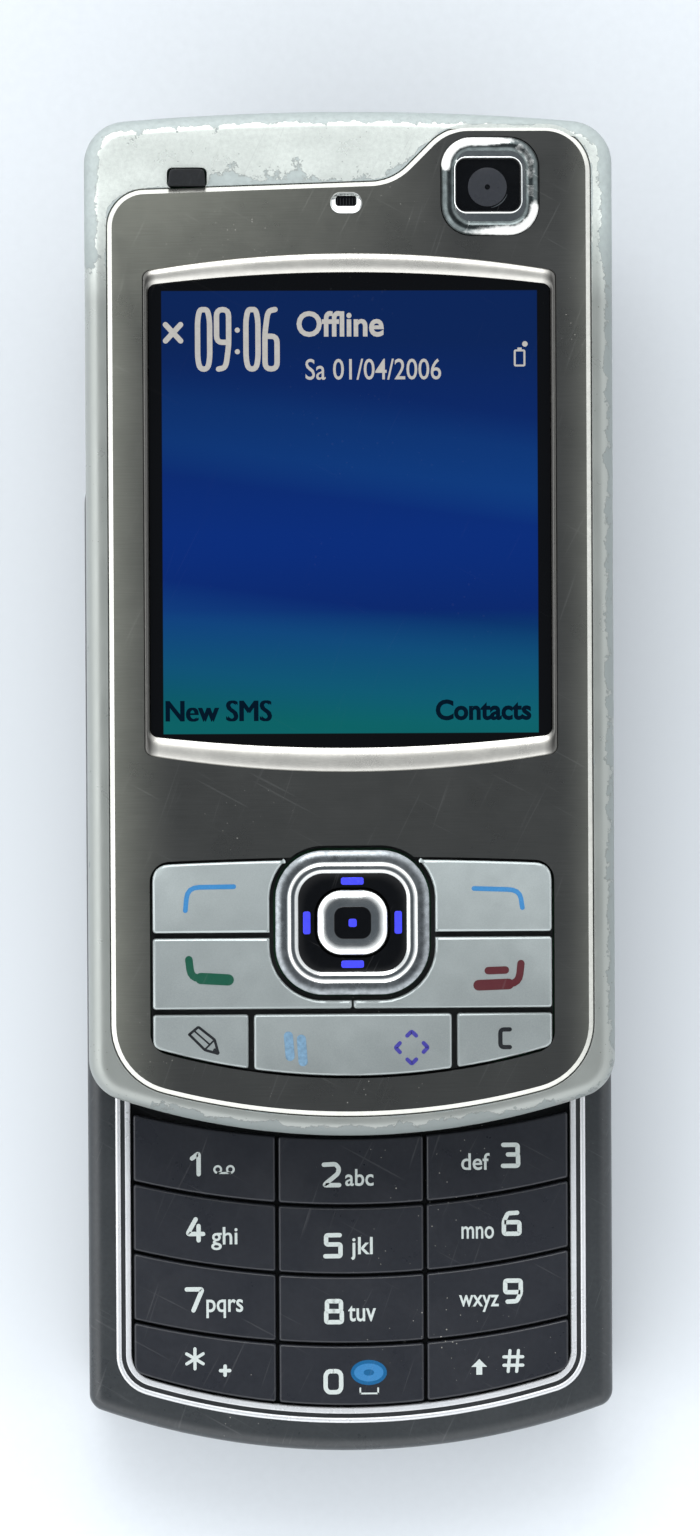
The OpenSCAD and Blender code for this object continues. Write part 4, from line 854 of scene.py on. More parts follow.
def surround_finish():
    """Dark polished metal with painted highlights: near white, and less metallic, where the mesh's mark says so.
    """
    f = Finish("surround_metal", 0.2, 0.8, 0.1)
    n = f.n
    highlight_mark = n.add("Attribute", out=2, attribute_name="wear")
    ragged = n.times(n.math("SUBTRACT", f.effect("grain", Size=0.5), 0.5), 0.5)
    # Painted highlights: where highlight_mark is high, the colour turns near white and the metal less metallic.
    bright = n.mapped(n.math("ADD", highlight_mark, ragged), 0.35, 0.6)
    body = n.vary(f.effect("grain", Size=0.8), srgb(66, 72, 72), srgb(96, 104, 104))
    body = n.lay(bright, n.mapped(highlight_mark, 0.3, 0.8, 0.45, 1.0), body, srgb(250, 250, 246))
    lines = f.effect("scratches", Size=0.3, Amount=0.5)
    f.set("Base Color", n.lay(lines, 0.4, body, srgb(190, 194, 192)))
    f.set("Metallic", n.mapped(bright, 0, 1, 0.9, 0.3))
    gloss = n.mapped(f.effect("smudges", Size=3.0), 0, 1, 0.16, 0.26)
    f.set("Roughness", n.math("ADD", gloss, n.times(lines, 0.2)))
    f.bump(n.times(lines, -1.0), 0.004)


def lit_screen():
    """Black glass with the picture inside it: three blues from top to bottom and soft waves of light."""
    f = Finish("screen_glass", 0.06, level=0.14)
    n = f.n
    x, y = n.along(0), n.along(1, SLIDER_Y + 10.4)
    inside = [n.mapped(n.math("ABSOLUTE", at), edge + 0.06, edge) for at, edge in ((x, 17.4), (y, 20.5))]
    shown = n.times(*inside)
    low = n.mix(n.mapped(y, -19.5, -9), finish().screen_low, tone(finish().screen_mid, 0.75))
    low = n.mix(n.mapped(y, -9, -2), low, finish().screen_mid)
    body = n.mix(n.mapped(y, -4, 16), low, finish().screen_top)
    swell = n.add("TexWave", {"Vector": n.places(60.0, (0.6, 1, 1), 0.12), "Scale": 0.9, "Distortion": 2.6,
                              "Detail": 1.0, "Detail Scale": 0.8}, bands_direction="Y")
    glow = n.times(n.mapped(swell, 0.45, 0.9), n.mapped(n.math("ABSOLUTE", n.math("ADD", y, 6)), 22, 4))
    body = n.lay(glow, 0.16, body, srgb(30, 120, 190))
    rows = n.add("TexWave", {"Vector": n.places(1.0, (1, 1, 1)), "Scale": 2.3}, bands_direction="Y")
    body = n.lay(rows, 0.05, body, BLACK)
    f.set("Base Color", n.mix(shown, srgb(9, 10, 12), srgb(6, 9, 16)))
    f.set("Emission Color", n.mix(shown, BLACK, body)).set("Emission Strength", 0.92)
    lines = f.effect("scratches", Size=0.3, Amount=0.6)
    specks = f.effect("dust", Size=0.8, Amount=1.2)
    gloss = n.mapped(f.effect("smudges", Size=12.0), 0, 1, 0.04, 0.13)
    f.set("Roughness", n.math("ADD", gloss, n.times(n.most(lines, specks), 0.3)))
    f.bump(n.times(lines, -1.0), 0.004)


def glowing(name, rgb, strength):
    """Print on the picture that gives its own light, a little uneven as pixels are."""
    f = Finish(name, 0.5, level=0.03)
    body = f.n.vary(f.effect("grain", Size=0.3), tone(rgb, 0.9), tone(rgb, 1.05))
    f.set("Base Color", BLACK).set("Emission Color", body).set("Emission Strength", strength)
    f.set("Roughness", f.n.mapped(f.effect("smudges", Size=4.0), 0, 1, 0.25, 0.4))


def shape():
    return bpy.context.scene.phone_shape


def finish():
    return bpy.context.scene.phone_finish


def mat(name):
    """The finish of that name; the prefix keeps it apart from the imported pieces' own materials."""
    return bpy.data.materials["look_" + name]


class PHONE_OT_finishes(bpy.types.Operator):
    """Every finish of the phone, and the effects that the finishes share."""

    bl_idname = "phone.finishes"
    bl_label = "Finishes"

    def execute(self, context):
        make_effects()
        for make in (painted_frame, lit_screen, plate_finish, surround_finish):
            make()
        for name, values in FINISHES.items():
            surface_finish(name, **values)
        glowing("screen_white", srgb(206, 204, 199), 0.85)
        glowing("screen_dark", srgb(4, 26, 44), 0.8)
        return {"FINISHED"}


# ------------------------------------------------------------------ upper half


ROLL_H = 1.9  # height of the frame's rolled edge


def ramp(value, start, end):
    """0 before start, 1 past end and even between; start may be the larger."""
    return np.clip((value - start) / (end - start), 0, 1)


def frame_wear(x, y, rows):
    """How likely the paint is to have gone, for each level of the frame and each point (x, y) round it.

    It is most on the roll, with worn spots on the top end, and less on the sides and the lower end.
    """
    level = [0.5, 0.3, 0.35, 0.7, 0.98, 0.95, 0.9, 0.8, 0.62, 0.42, 0.3, 0.14, 0.1, 0.2, 0.46, 0.6, 0.6]
    margin = [0.0] * 11 + [0.2, 0.5, 0.9, 1, 1]
    level, margin = (np.array(v + [0.0] * (rows - len(v)))[:, None] for v in (level, margin))
    spot = np.exp(-((x + 9) / 6) ** 2) * (y > 40) + 0.6 * np.exp(-((x - 6) / 3) ** 2) * (y > 40)
    sides = ramp(y, 36, 32) * (np.abs(x) > 19) * (0.75 * (x < 0) + 0.3 * (x > 0))
    return np.clip(level + (0.3 * margin * spot - sides - 0.2 * (y < -40)), 0, 1)


class PHONE_OT_frame(bpy.types.Operator):
    """Silver upper frame: its wall, a rolled edge and a flat margin that steps down to the face plate's seat.

    Ring k of the roll, for t = 0..90 degrees: inset roll (1 - cos t), height FRAME_TOP - ROLL_H (1 - sin t).
    """

    bl_idname = "phone.frame"
    bl_label = "Upper frame"

    def execute(self, context):
        roll, top, foot = shape().frame_roll, FRAME_TOP, SLIDER_Z + 1.4
        t = np.radians(np.linspace(0, 90, 9))
        outer = [slider_plan(i) for i in (0.15, 0, *(roll * (1 - np.cos(t))))]
        inner = [face_plan(i) for i in (0.24, 0.13, 0.1, 0.1, -0.7, -0.7)]
        inner += [slider_plan(i) for i in (1.5, 1.5, 0.15)]
        loops = loops_round((0, SLIDER_Y), 0.35, *outer, *inner)
        edge, lip = loops[len(outer) - 1], loops[len(outer)]
        between = [edge + (lip - edge) * k for k in (0.2, 0.5, 0.8)]
        loops = loops[:len(outer)] + between + loops[len(outer):]
        heights = [foot, SLIDER_Z + 2.2, *(top - ROLL_H * (1 - np.sin(t))), top, top, top, top,
                   top - 0.03, top - 0.14, LEDGE, LEDGE, top - 1.5, top - 1.5, foot, foot]
        mark = frame_wear(loops[0][:, 0], loops[0][:, 1] - SLIDER_Y, len(loops))
        power_slot = Surface().prism(round_box(3.7, 1.9, 0.5, -15, SLIDER_Y + 41.4), 20, 24)
        s = Surface().rings(loops, heights, 0, mark)
        s.piece("upper_frame", "slider", "frame_paint", "slider_frame", "frame_silver", cuts=[power_slot])
        return {"FINISHED"}


class PHONE_OT_face(bpy.types.Operator):
    """Dark face plate with a bright bevel round it."""

    bl_idname = "phone.face"
    bl_label = "Face plate"

    def execute(self, context):
        bevel = shape().plate_bevel
        holes = [window_plan(0.5, *CRESCENTS), field_plan(), round_box(2.9, 1.9, 0.9, *EARPIECE),
                 round_box(9.2, 9.2, 2.85, *CAMERA)]
        s = Surface()
        s.rings([face_plan(), face_plan(), face_plan(-bevel)], [LEDGE, PLATE_TOP - 0.28, PLATE_TOP], [0, 1])
        for hole in holes:
            s.rings([hole, hole], [LEDGE, PLATE_TOP])
        s.cap([face_plan(), *holes], LEDGE)
        s.cap([face_plan(-bevel), *holes], PLATE_TOP)
        s.piece("face_panel", "slider", "plate plate_edge", "face_plate", "plate_metal", crease=20)
        return {"FINISHED"}


CRESCENTS = (1.75, 2.2)  # what the window's rim adds above and below


class PHONE_OT_rims(bpy.types.Operator):
    """The rim of the window with its two crescents, and the earpiece's dish with its mesh."""

    bl_idname = "phone.rims"
    bl_label = "Window rim and earpiece"

    def execute(self, context):
        z = PLATE_TOP
        inner, outer = loops_round((0, SLIDER_Y + 10.5), 0.3, window_plan(), window_plan(0.47, *CRESCENTS))
        k = np.linspace(0, 1, 13)
        loops = [outer] + [outer + (inner - outer) * j for j in k] + [inner]
        bead = z - 0.1 + 0.3 * np.sin(math.pi * np.minimum(1, k * 0.94)) ** 0.8 - 0.16 * k
        s = Surface().rings([*loops, outer], [z - 0.6, *bead, z - 0.6, z - 0.6])
        s.piece("window_frame", "slider", "rim_metal", "window_rim", "trim_metal")

        def dish(inset):
            x, y = EARPIECE
            return round_box(2.96 - 2 * inset, 1.96 - 2 * inset, 0.94 - 1.3 * inset, x, y + 0.34 * inset)

        loops = [dish(i) for i in (0, 0, 0.06, 0.2, 0.36, 0.5, 0.54)]
        s = Surface().rings(loops, [z - 0.5, z + 0.06, z + 0.13, z + 0.1, z - 0.05, z - 0.16, z - 0.5])
        s.rings([loops[0], loops[-1]], [z - 0.5, z - 0.5])
        s.piece("earpiece_rim", "slider", "chrome", slot="trim_metal")
        s = Surface().prism(dish(0.5), z - 0.62, z - 0.4, 0)
        for k in range(7):
            bar = box(-1.1 + k * 0.28, -1.02 + k * 0.28, SLIDER_Y + 38.6, SLIDER_Y + 39.5)
            s.prism(bar, z - 0.41, z - 0.36, 1)
        s.piece("earpiece_mesh", "slider", "gloss_black dark_rubber", slot="black_plastic")
        return {"FINISHED"}


class PHONE_OT_screen(bpy.types.Operator):
    """Window glass with the lit picture, and the picture's generic marks just above it."""

    bl_idname = "phone.screen"
    bl_label = "Window and picture"

    def execute(self, context):
        top, y, ink = LEDGE + 0.6, SLIDER_Y, 0.01
        s = Surface().prism(window_plan(-0.05), LEDGE, top, 0, 0.1)
        s.piece("window_glass", "slider", "screen_glass", "window_lens", "black_window")
        s = Surface()
        for k, text in enumerate("09:06"):
            x = -10.4 + (k - 2) * 1.76 + (0.4 if k < 2 else -0.4 if k > 2 else 0)
            if text == ":":
                for dy in (-1.0, 1.0):
                    s.prism(disc(x, y + 26.3 + dy, 0.24, 14), top, top + ink)
            else:
                sign(s, text, x, y + 26.45, top, 6.0, 1.62, 0.5, 0, ink, 0.62)
        write(s, "Offline", -0.85, y + 27.85, top, 2.4, 8.1, 0.026, ink)
        write(s, "Sa 01/04/2006", 2.2, y + 23.65, top, 1.95, 12.6, 0.006, ink)
        lock = [(15.8, 23.95), (16.25, 23.95), (16.25, 25.35), (15.35, 25.35), (15.35, 23.95), (15.8, 23.95)]
        draw(s, np.array(lock) + [0, y], 0.18, top, 0, ink, 0.1)
        s.prism(box(15.6, 16.0, y + 25.4, y + 25.62), top, top + ink)
        s.prism(disc(16.3, y + 25.95, 0.26, 14), top, top + ink)
        for k in (-1, 1):
            bar = [[-17.05, y + 27.07 - k * 0.75], [-15.65, y + 27.07 + k * 0.75]]
            draw(s, bar, 0.5, top, 0, ink + 0.002 * k)
        s.piece("screen_marks", "slider", "screen_white", slot="screen")
        s = Surface()
        for k in (-1, 1):
            write(s, "New SMS", -12.3 + 0.09 * k, y - 8.0, top, 1.95, 9.7, 0.0, ink + 0.002 * k)
        write(s, "Contacts", 12.3, y - 8.0, top, 1.95, 8.9, 0.034, ink)
        s.piece("screen_labels", "slider", "screen_dark", slot="screen")
        return {"FINISHED"}


def painted_highlights(turn, rows):
    """Where the camera's surround gets painted highlights, for each level and each direction (turn) in degrees.
    """
    high = ramp(turn, 34, 94) * ramp(turn, 168, 154)
    low = 0.85 * ramp(turn, 215, 285) * ramp(turn, 348, 334)
    right = 0.45 * (ramp(turn, 0, 10) * ramp(turn, 62, 52) + (turn > 345))
    slope = np.array([0, 0.55, 0.8, 1, 0.95, 0.75, 0.35, 0, 0])[:, None]
    mark = np.zeros((rows, len(turn)))
    mark[:9] = np.maximum(slope * (high + low), np.roll(slope, 2, 0) * right)
    return mark


class PHONE_OT_camera(bpy.types.Operator):
    """Raised surround, bright where its highlights are painted, with its dark window, the lens behind it with a
    painted crescent highlight, and the power key.
    """

    bl_idname = "phone.camera"
    bl_label = "Front camera and power key"

    def execute(self, context):
        wx, wy = CAMERA_WINDOW
        foot = 21.9
        loops = [round_box(9.1 - 2 * i, 9.1 - 2 * i, 2.8 - i, *CAMERA, 13)
                 for i in (0, 0, 0.05, 0.2, 0.45, 0.7, 0.95, 1.15, 1.28)]
        openings = ((6.42, 1.2), (6.38, 1.18), (6.3, 1.12), (6.18, 1.05), (6.04, 0.97), (5.95, 0.9))
        loops += [round_box(w, w - 1.1, r, wx, wy, 13) for w, r in openings]
        loops.append(loops[-1])
        heights = [foot, 22.5, 22.66, 22.86, 23.04, 23.12, 23.1, 23.0, 22.88,
                   22.86, 22.96, 23.06, 23.1, 23.02, 22.8, foot, foot]
        loops = loops_round((wx, wy), 0.2, *loops, loops[0])
        # Each point's mark says where the surround's highlights are painted.
        turn = np.degrees(np.arctan2(loops[0][:, 1] - wy, loops[0][:, 0] - wx)) % 360
        s = Surface().rings(loops, heights, [0] * 8 + [1] * 7 + [0], painted_highlights(turn, len(loops)))
        s.piece("camera_surround", "slider", "surround_metal chrome", "camera_pod", "trim_metal")
        s = Surface().prism(round_box(5.95, 4.85, 0.85, wx, wy), 22.4, 22.7, 0, 0.05)
        s.prism(disc(*CAMERA_LENS, 1.8), 22.7, 22.72, 1, 0.01)
        s.prism(disc(*CAMERA_LENS, 0.25, 20), 22.72, 22.725, 0)
        # A thin chrome crescent at the lens's lower right: a painted highlight.
        width = 0.1 * np.sin(np.linspace(0.2, math.pi - 0.2, 15))
        s.prism(stroke(arc(*CAMERA_LENS, 1.95, -80, -20, 15), width), 22.7, 22.73, 2)
        s.piece("camera_window", "slider", "gloss_black lens_grey chrome", "front_camera", "black_window")
        corners = [[-16.75, 40.62], [-13.25, 40.62], [-13.4, 42.2], [-16.6, 42.2]]
        loop = rounded(corners, [0.12, 0.12, 0.5, 0.5])
        s = Surface().prism(loop + [0, SLIDER_Y], 21.5, 22.85, 0, 0.15)
        s.piece("power_button", "power_key", "dark_rubber", "power_key", "key_dark")
        return {"FINISHED"}


def nav_side(y0, y1, outset=0.55):
    """The outline round the navigation ring, on its left side, from height y0 to y1 of the upper half."""
    loop = dense(nav_plan(outset), 0.35) - [0, SLIDER_Y]
    turn = np.degrees(np.arctan2(loop[:, 1] - (NAV_Y - SLIDER_Y), loop[:, 0])) % 360
    left = (turn > 90.5) & (turn < 269.5)
    side = loop[left][np.argsort(-turn[left])]
    y = side[:, 1] + np.arange(len(side)) * 1e-6
    low, high = min(y0, y1), max(y0, y1)
    inner = side[(y > low + 0.03) & (y < high - 0.03)]
    ends = [[float(np.interp(v, y, side[:, 0])), v] for v in (low, high)]
    if low < y[0]:
        ends[0] = [-0.08, y[0]]
    path = np.concatenate([[ends[0]], inner, [ends[1]]])
    return path if y0 < y1 else path[::-1]


def key_outlines():
    """Outlines of the upper keys of the left side and of the rocker, in the upper half's own heights."""
    left, foot_bow = -18.55, 65

    def top(x):
        return -21.85 - x * x / 800

    def foot(x0, x1, n):
        return [[x, -41.95 + foot_bow - math.sqrt(foot_bow ** 2 - x * x)] for x in np.linspace(x0, x1, n)]

    along_top = [[x, top(x)] for x in (-9, -12, -15, left)]
    soft = [[left, -28.6], *nav_side(-28.6, top(-6.1)), *along_top]
    call = [[left, -29.1], *nav_side(-29.1, -36), [-0.08, -35.7], [left, -35.7]]
    edit = [*foot(left, -9.7, 7), [-9.7, -36.2], [left, -36.2]]
    rocker = [*foot(-9.2, 9.2, 15), [9.2, -36.2], [-9.2, -36.2]]
    return {
        "soft": rounded(soft, [0.35, *[0.4] * (len(soft) - 2), 1.65], 7),
        "call": rounded(call, 0.3)[::-1],
        "edit": rounded(edit, [1.75, *[0.3] * (len(edit) - 1)], 7),
        "rocker": rounded(rocker, 0.35),
    }


# outline, and 1 on the left side or -1 for its mirror image on the right
UPPER_KEYS = {"soft_key_left": ("soft", 1), "soft_key_right": ("soft", -1), "call_key": ("call", 1),
              "end_key": ("call", -1), "edit_key": ("edit", 1), "clear_key": ("edit", -1),
              "menu_rocker": ("rocker", 1)}
INKS = ["key_metal", "print_blue", "print_green", "print_red", "print_dark", "print_worn", "print_deep_blue"]
BLUE, GREEN, RED, DARK, WORN, DEEP_BLUE = range(1, 7)
# printed bands: points from the upper half's middle, width, ink and corner radius
UPPER_PRINT = {
    "soft_key_left": [([(-15.5, -26.5), (-15.3, -24.35), (-11.0, -24.3)], 0.44, BLUE, 1.1)],
    "soft_key_right": [([(11.3, -24.6), (15.55, -24.75), (15.8, -26.4)], 0.44, BLUE, 1.1)],
    "call_key": [([(-15.2, -31.05), (-15.0, -32.75), (-13.4, -32.85)], 0.7, GREEN, 0.9),
                 ([(-14.1, -32.8), (-11.55, -32.95)], 1.05, GREEN, 0.3)],
    "end_key": [([(15.65, -31.6), (15.45, -33.4), (13.8, -33.55)], 0.68, RED, 0.9),
                ([(14.5, -33.5), (11.7, -33.6)], 1.0, RED, 0.3),
                ([(12.6, -32.25), (14.2, -32.2)], 0.7, RED, 0.3)],
    "edit_key": [([(-15.2, -38.0), (-14.35, -37.3), (-12.85, -38.5), (-12.5, -39.8), (-13.75, -39.45),
                   (-15.2, -38.0)], 0.24, DARK, 0.12),
                 ([(-14.75, -37.65), (-13.3, -38.95)], 0.16, DARK, 0.1),
                 ([(-13.7, -39.35), (-13.3, -38.95), (-12.9, -38.55)], 0.16, DARK, 0.1),
                 ([(-12.8, -39.5), (-12.6, -39.7)], 0.42, DARK, 0.1)],
    "clear_key": [],
    "menu_rocker": [([(-6.0, -38.2), (-5.85, -40.1)], 0.85, WORN, 0.2),
                    ([(-4.8, -38.5), (-4.65, -40.6)], 0.85, WORN, 0.2)],
}
# four small arrowheads round the right end of the rocker
for c, s in ((1, 0), (0, 1), (-1, 0), (0, -1)):
    head = [(5.45 + c * a - s * b, -39.35 + s * a + c * b) for a, b in ((1.1, -0.42), (1.5, 0), (1.1, 0.42))]
    UPPER_PRINT["menu_rocker"].append((head, 0.36, DEEP_BLUE, 0.1))


class PHONE_OT_keys(bpy.types.Operator):
    """Silver keys of the upper half with their printed marks, and the dark bed that they stand in."""

    bl_idname = "phone.keys"
    bl_label = "Upper keys"

    def execute(self, context):
        rise, y = shape().print_rise, SLIDER_Y
        outlines = key_outlines()
        for name, (kind, side) in UPPER_KEYS.items():
            loop = outlines[kind] if side == 1 else (outlines[kind] * [-1, 1])[::-1]
            s = Surface().prism(loop + [0, y], KEY_FOOT, KEY_TOP, 0, shape().key_bevel)
            for k, (points, width, ink, r) in enumerate(UPPER_PRINT[name]):
                draw(s, np.array(points) + [0, y], width, KEY_TOP, ink, rise + 0.003 * k, r)
            if name == "clear_key":
                sign(s, "C", 14.15, y - 38.55, KEY_TOP, 2.05, 1.3, 0.4, DARK, rise, 0.35)
            s.piece(f"{name}_cap", name, " ".join(INKS), name, "key_metal", crease=30)
        bed = Surface().prism(field_plan(0.05), LEDGE - 0.75, LEDGE - 0.55, holes=[nav_plan(0.2)])
        bed.piece("key_bed", "slider", "dark_groove", slot="black_plastic")
        return {"FINISHED"}


class PHONE_OT_navigation(bpy.types.Operator):
    """Navigation ring with its matte band, chrome bead, black floor and four blue windows."""

    bl_idname = "phone.navigation"
    bl_label = "Navigation ring"

    def execute(self, context):
        foot, floor = 22.35, 22.8
        hole = round_box(7.1, 6.55, 2.6, 0, NAV_Y, 17)
        loops = [nav_plan(-i) for i in (0, 0, 0.2, 1.0, 1.2, 1.5, 1.85, 2.1)] + [hole, hole, nav_plan(0)]
        loops = loops_round((0, NAV_Y), 0.3, *loops)
        heights = [foot, 22.6, 22.78, 22.95, 22.86, 23.02, 22.98, floor, floor, foot, foot]
        s = Surface().rings(loops, heights, [0, 0, 0, 1, 1, 1, 1, 2, 2, 0])
        windows = ((0, 3.86, 2.1, 0.68), (0, -3.86, 2.1, 0.68), (-4.25, 0, 0.68, 2.1), (4.25, 0, 0.68, 2.1))
        for dx, dy, w, h in windows:
            s.prism(round_box(w, h, 0.2, dx, NAV_Y + dy), floor, floor + 0.04, 3, 0.02)
        s.piece("nav_surround", "nav_ring", "matte_band chrome gloss_black blue_window",
                "nav_ring", "key_metal", crease=40)
        return {"FINISHED"}


class PHONE_OT_select(bpy.types.Operator):
    """Select key: a chrome cushion with a crowned black middle and a small blue window.

    Ring k of the cushion, for t = 0..90 degrees: inset 1.45 (1 - cos t), height 22.5 + 0.7 sin t.
    """

    bl_idname = "phone.select"
    bl_label = "Select key"

    def execute(self, context):
        w, h, corner, foot, top = 6.8, 6.25, 2.4, 22.2, 23.2
        t = np.radians(np.linspace(0, 90, 6))
        ins = [0, *(1.45 * (1 - np.cos(t)))]
        loops = [round_box(w - 2 * i, h - 2 * i, corner - 0.75 * i, 0, NAV_Y, 17) for i in ins]
        s = Surface().rings(loops, [foot, *(22.5 + 0.7 * np.sin(t))])
        s.cap(round_box(w, h, corner, 0, NAV_Y, 17), foot)
        s.cap(loops[-1], top, step=0.5)

        def crown(x, y):
            return 0.1 * np.clip(1 - (x / 2.6) ** 2 * 0.5 - ((y - NAV_Y) / 2.2) ** 2 * 0.5, 0, 1)

        s.prism(round_box(3.45, 3.0, 0.9, 0, NAV_Y, 11), top, 23.24, 1, 0.03, step=0.4, crown=crown)
        s.prism(round_box(0.75, 0.75, 0.2, 0, NAV_Y), 23.3, 23.35, 2, 0.02)
        s.piece("select_button", "select_key", "chrome gloss_black blue_window",
                "select_key", "key_metal", crease=40)
        return {"FINISHED"}


# ------------------------------------------------------------------ lower half


COLS = [-PAD_W / 2, -7.05, 7.05, PAD_W / 2]
ROWS = [-PAD_LOW, -37.4, -30.8, -24.2, -17.6]
KEYS = [["key_star", "key_0", "key_hash"], ["key_7", "key_8", "key_9"], ["key_4", "key_5", "key_6"],
        ["key_1", "key_2", "key_3"]]
# sign, and its place from the lower half's middle
DIGITS = {"key_1": ("1", -14.73, -20.02), "key_2": ("2", -1.86, -21.16), "key_3": ("3", 15.2, -19.45),
          "key_4": ("4", -14.82, -26.31), "key_5": ("5", -1.76, -27.93), "key_6": ("6", 15.3, -25.93),
          "key_7": ("7", -14.92, -32.98), "key_8": ("8", -1.67, -34.22), "key_9": ("9", 15.4, -32.41),
          "key_star": ("*", -14.92, -38.6), "key_0": ("0", -1.76, -40.9), "key_hash": ("#", 15.4, -39.08)}
LETTERS = {"key_2": ("abc", 0.81, -21.45), "key_3": ("def", 11.87, -20.02), "key_4": ("ghi", -12.06, -27.17),
           "key_5": ("jkl", 1.0, -28.22), "key_6": ("mno", 12.06, -26.79), "key_7": ("pqrs", -12.06, -33.84),
           "key_8": ("tuv", 1.0, -34.41), "key_9": ("wxyz", 12.15, -33.56), "key_star": ("+", -12.06, -39.75)}
# height as a share of letter_height, and width in millimetres
LETTER_SIZES = {"abc": (1.0, 2.7), "def": (1.0, 2.7), "ghi": (1.35, 2.5), "jkl": (1.35, 2.1),
                "mno": (0.74, 3.1), "pqrs": (1.1, 3.5), "tuv": (0.95, 2.65), "wxyz": (1.0, 3.8)}


def number_key_plan(row, col):
    """One number key: straight sides and the bowed edges of its row.

    Half the gap is taken off between keys, and a little less at the field's edge.
    """
    half, margin, corner = 0.15, 0.12, 2.3

    def edge(k, x):
        bow = PAD_BOW if k == 0 else 89
        return ROWS[k] + bow - math.sqrt(bow ** 2 - x * x)

    x0 = COLS[col] + (half if col else margin)
    x1 = COLS[col + 1] - (half if col < 2 else margin)
    xs = np.linspace(x0, x1, 9)
    low = [[x, edge(row, x) + (half if row else margin)] for x in xs]
    high = [[x, edge(row + 1, x) - half] for x in xs[::-1]]
    r = [0.3] * 18
    if row == 0 and col != 1:
        r[0 if col == 0 else 8] = corner
    return rounded(np.array(low + high), r, 6) + [0, BASE_Y]


def tape_mark(s, z0, z1):
    """Two small reels on a line."""
    x, y = -12.06, BASE_Y - 20.59
    for dx in (-0.6, 0.6):
        s.prism(disc(x + dx, y, 0.42, 20), z0, z1, 1, holes=[disc(x + dx, y, 0.22, 20)])
    s.prism(stroke([[x - 0.6, y - 0.33], [x + 0.6, y - 0.33]], 0.18), z0, z1, 1)


def oval_mark(s, z0, z1):
    """Plain blue oval, and an open box for the space below it."""
    for k, (rx, ry, slot) in enumerate(((1.72, 1.2, 3), (1.4, 0.86, 2), (0.5, 0.3, 3))):
        s.prism(disc(0, 0, 1, 36) * [rx, ry] + [1.62, BASE_Y - 40.05], z0, z1 + 0.004 * k, slot)
    left, right, y = 0.8, 2.5, BASE_Y - 41.85
    corners = [[left, y + 0.3], [left, y - 0.2], [right, y - 0.2], [right, y + 0.3]]
    for start, end in zip(corners, corners[1:]):
        s.prism(stroke([start, end], 0.16), z0, z1, 1)


def arrow_mark(s, z0, z1):
    """Arrow that points up."""
    arrow = np.array([[0.28, -0.7], [0.28, 0.05], [0.75, 0.05], [0, 0.8], [-0.75, 0.05], [-0.28, 0.05],
                      [-0.28, -0.7]])
    s.prism(arrow + [12.15, BASE_Y - 39.66], z0, z1, 1)


MARKS = {"key_1": tape_mark, "key_0": oval_mark, "key_hash": arrow_mark}


class PHONE_OT_numbers(bpy.types.Operator):
    """Twelve number keys with rounded edges, and digits and letters in thin raised print."""

    bl_idname = "phone.numbers"
    bl_label = "Number keys"

    def execute(self, context):
        for row, names in enumerate(KEYS):
            for col, name in enumerate(names):
                loop, bevel = number_key_plan(row, col), shape().number_bevel
                s = Surface().prism(loop, NUMBER_FOOT, NUMBER_TOP, 0, bevel, steps=4)
                self.print_on(s, name)
                s.piece(f"{name}_cap", name, "number_key print_light print_blue print_oval", name, "housing",
                        crease=30)
        return {"FINISHED"}

    def print_on(self, s, name):
        p, top = shape(), NUMBER_TOP
        text, x, y = DIGITS[name]
        tall, wide = {"*": (2.2, 2.1), "#": (2.3, 2.1)}.get(text, (p.digit_height, 1.9))
        sign(s, text, x, y + BASE_Y, top, tall, wide, 0.3 if text in "#*" else 0.42, 1, p.print_rise, 0.2)
        if name in LETTERS:
            text, x, y = LETTERS[name]
            if text == "+":
                sign(s, text, x, y + BASE_Y, top, 1.2, 1.2, 0.34, 1, p.print_rise)
            else:
                tall, wide = LETTER_SIZES[text]
                write(s, text, x, y + BASE_Y, top, tall * p.letter_height, wide, 0.012, p.print_rise, 1)
        if name in MARKS:
            MARKS[name](s, top, top + p.print_rise)


class PHONE_OT_trim(bpy.types.Operator):
    """Metal trim round the number keys: a sweep of two bright beads with a groove between them, darkened as
    painted shade.
    """

    bl_idname = "phone.trim"
    bl_label = "Keypad trim"

    def execute(self, context):
        outs = [0.15, 0.15, 0.22, 0.42, 0.66, 0.76, 1.02, 1.08, 1.18, 1.35, 1.5, 1.58, 1.58]
        ups = [11.9, 12.8, 12.9, 12.95, 12.88, 12.66, 12.66, 12.84, 12.92, 12.94, 12.88, 12.78, 11.9]
        paths = [np.roll(pad_plan(out, 11.6), -1, 0) for out in outs]
        s = Surface().sweep([np.column_stack([path, np.full(len(path), z)]) for path, z in zip(paths, ups)],
                            [0] * 4 + [1] * 3 + [0] * 6)
        s.piece("keypad_trim", "base", "trim_metal trim_groove", "keypad_rim", "trim_metal", crease=40)
        return {"FINISHED"}


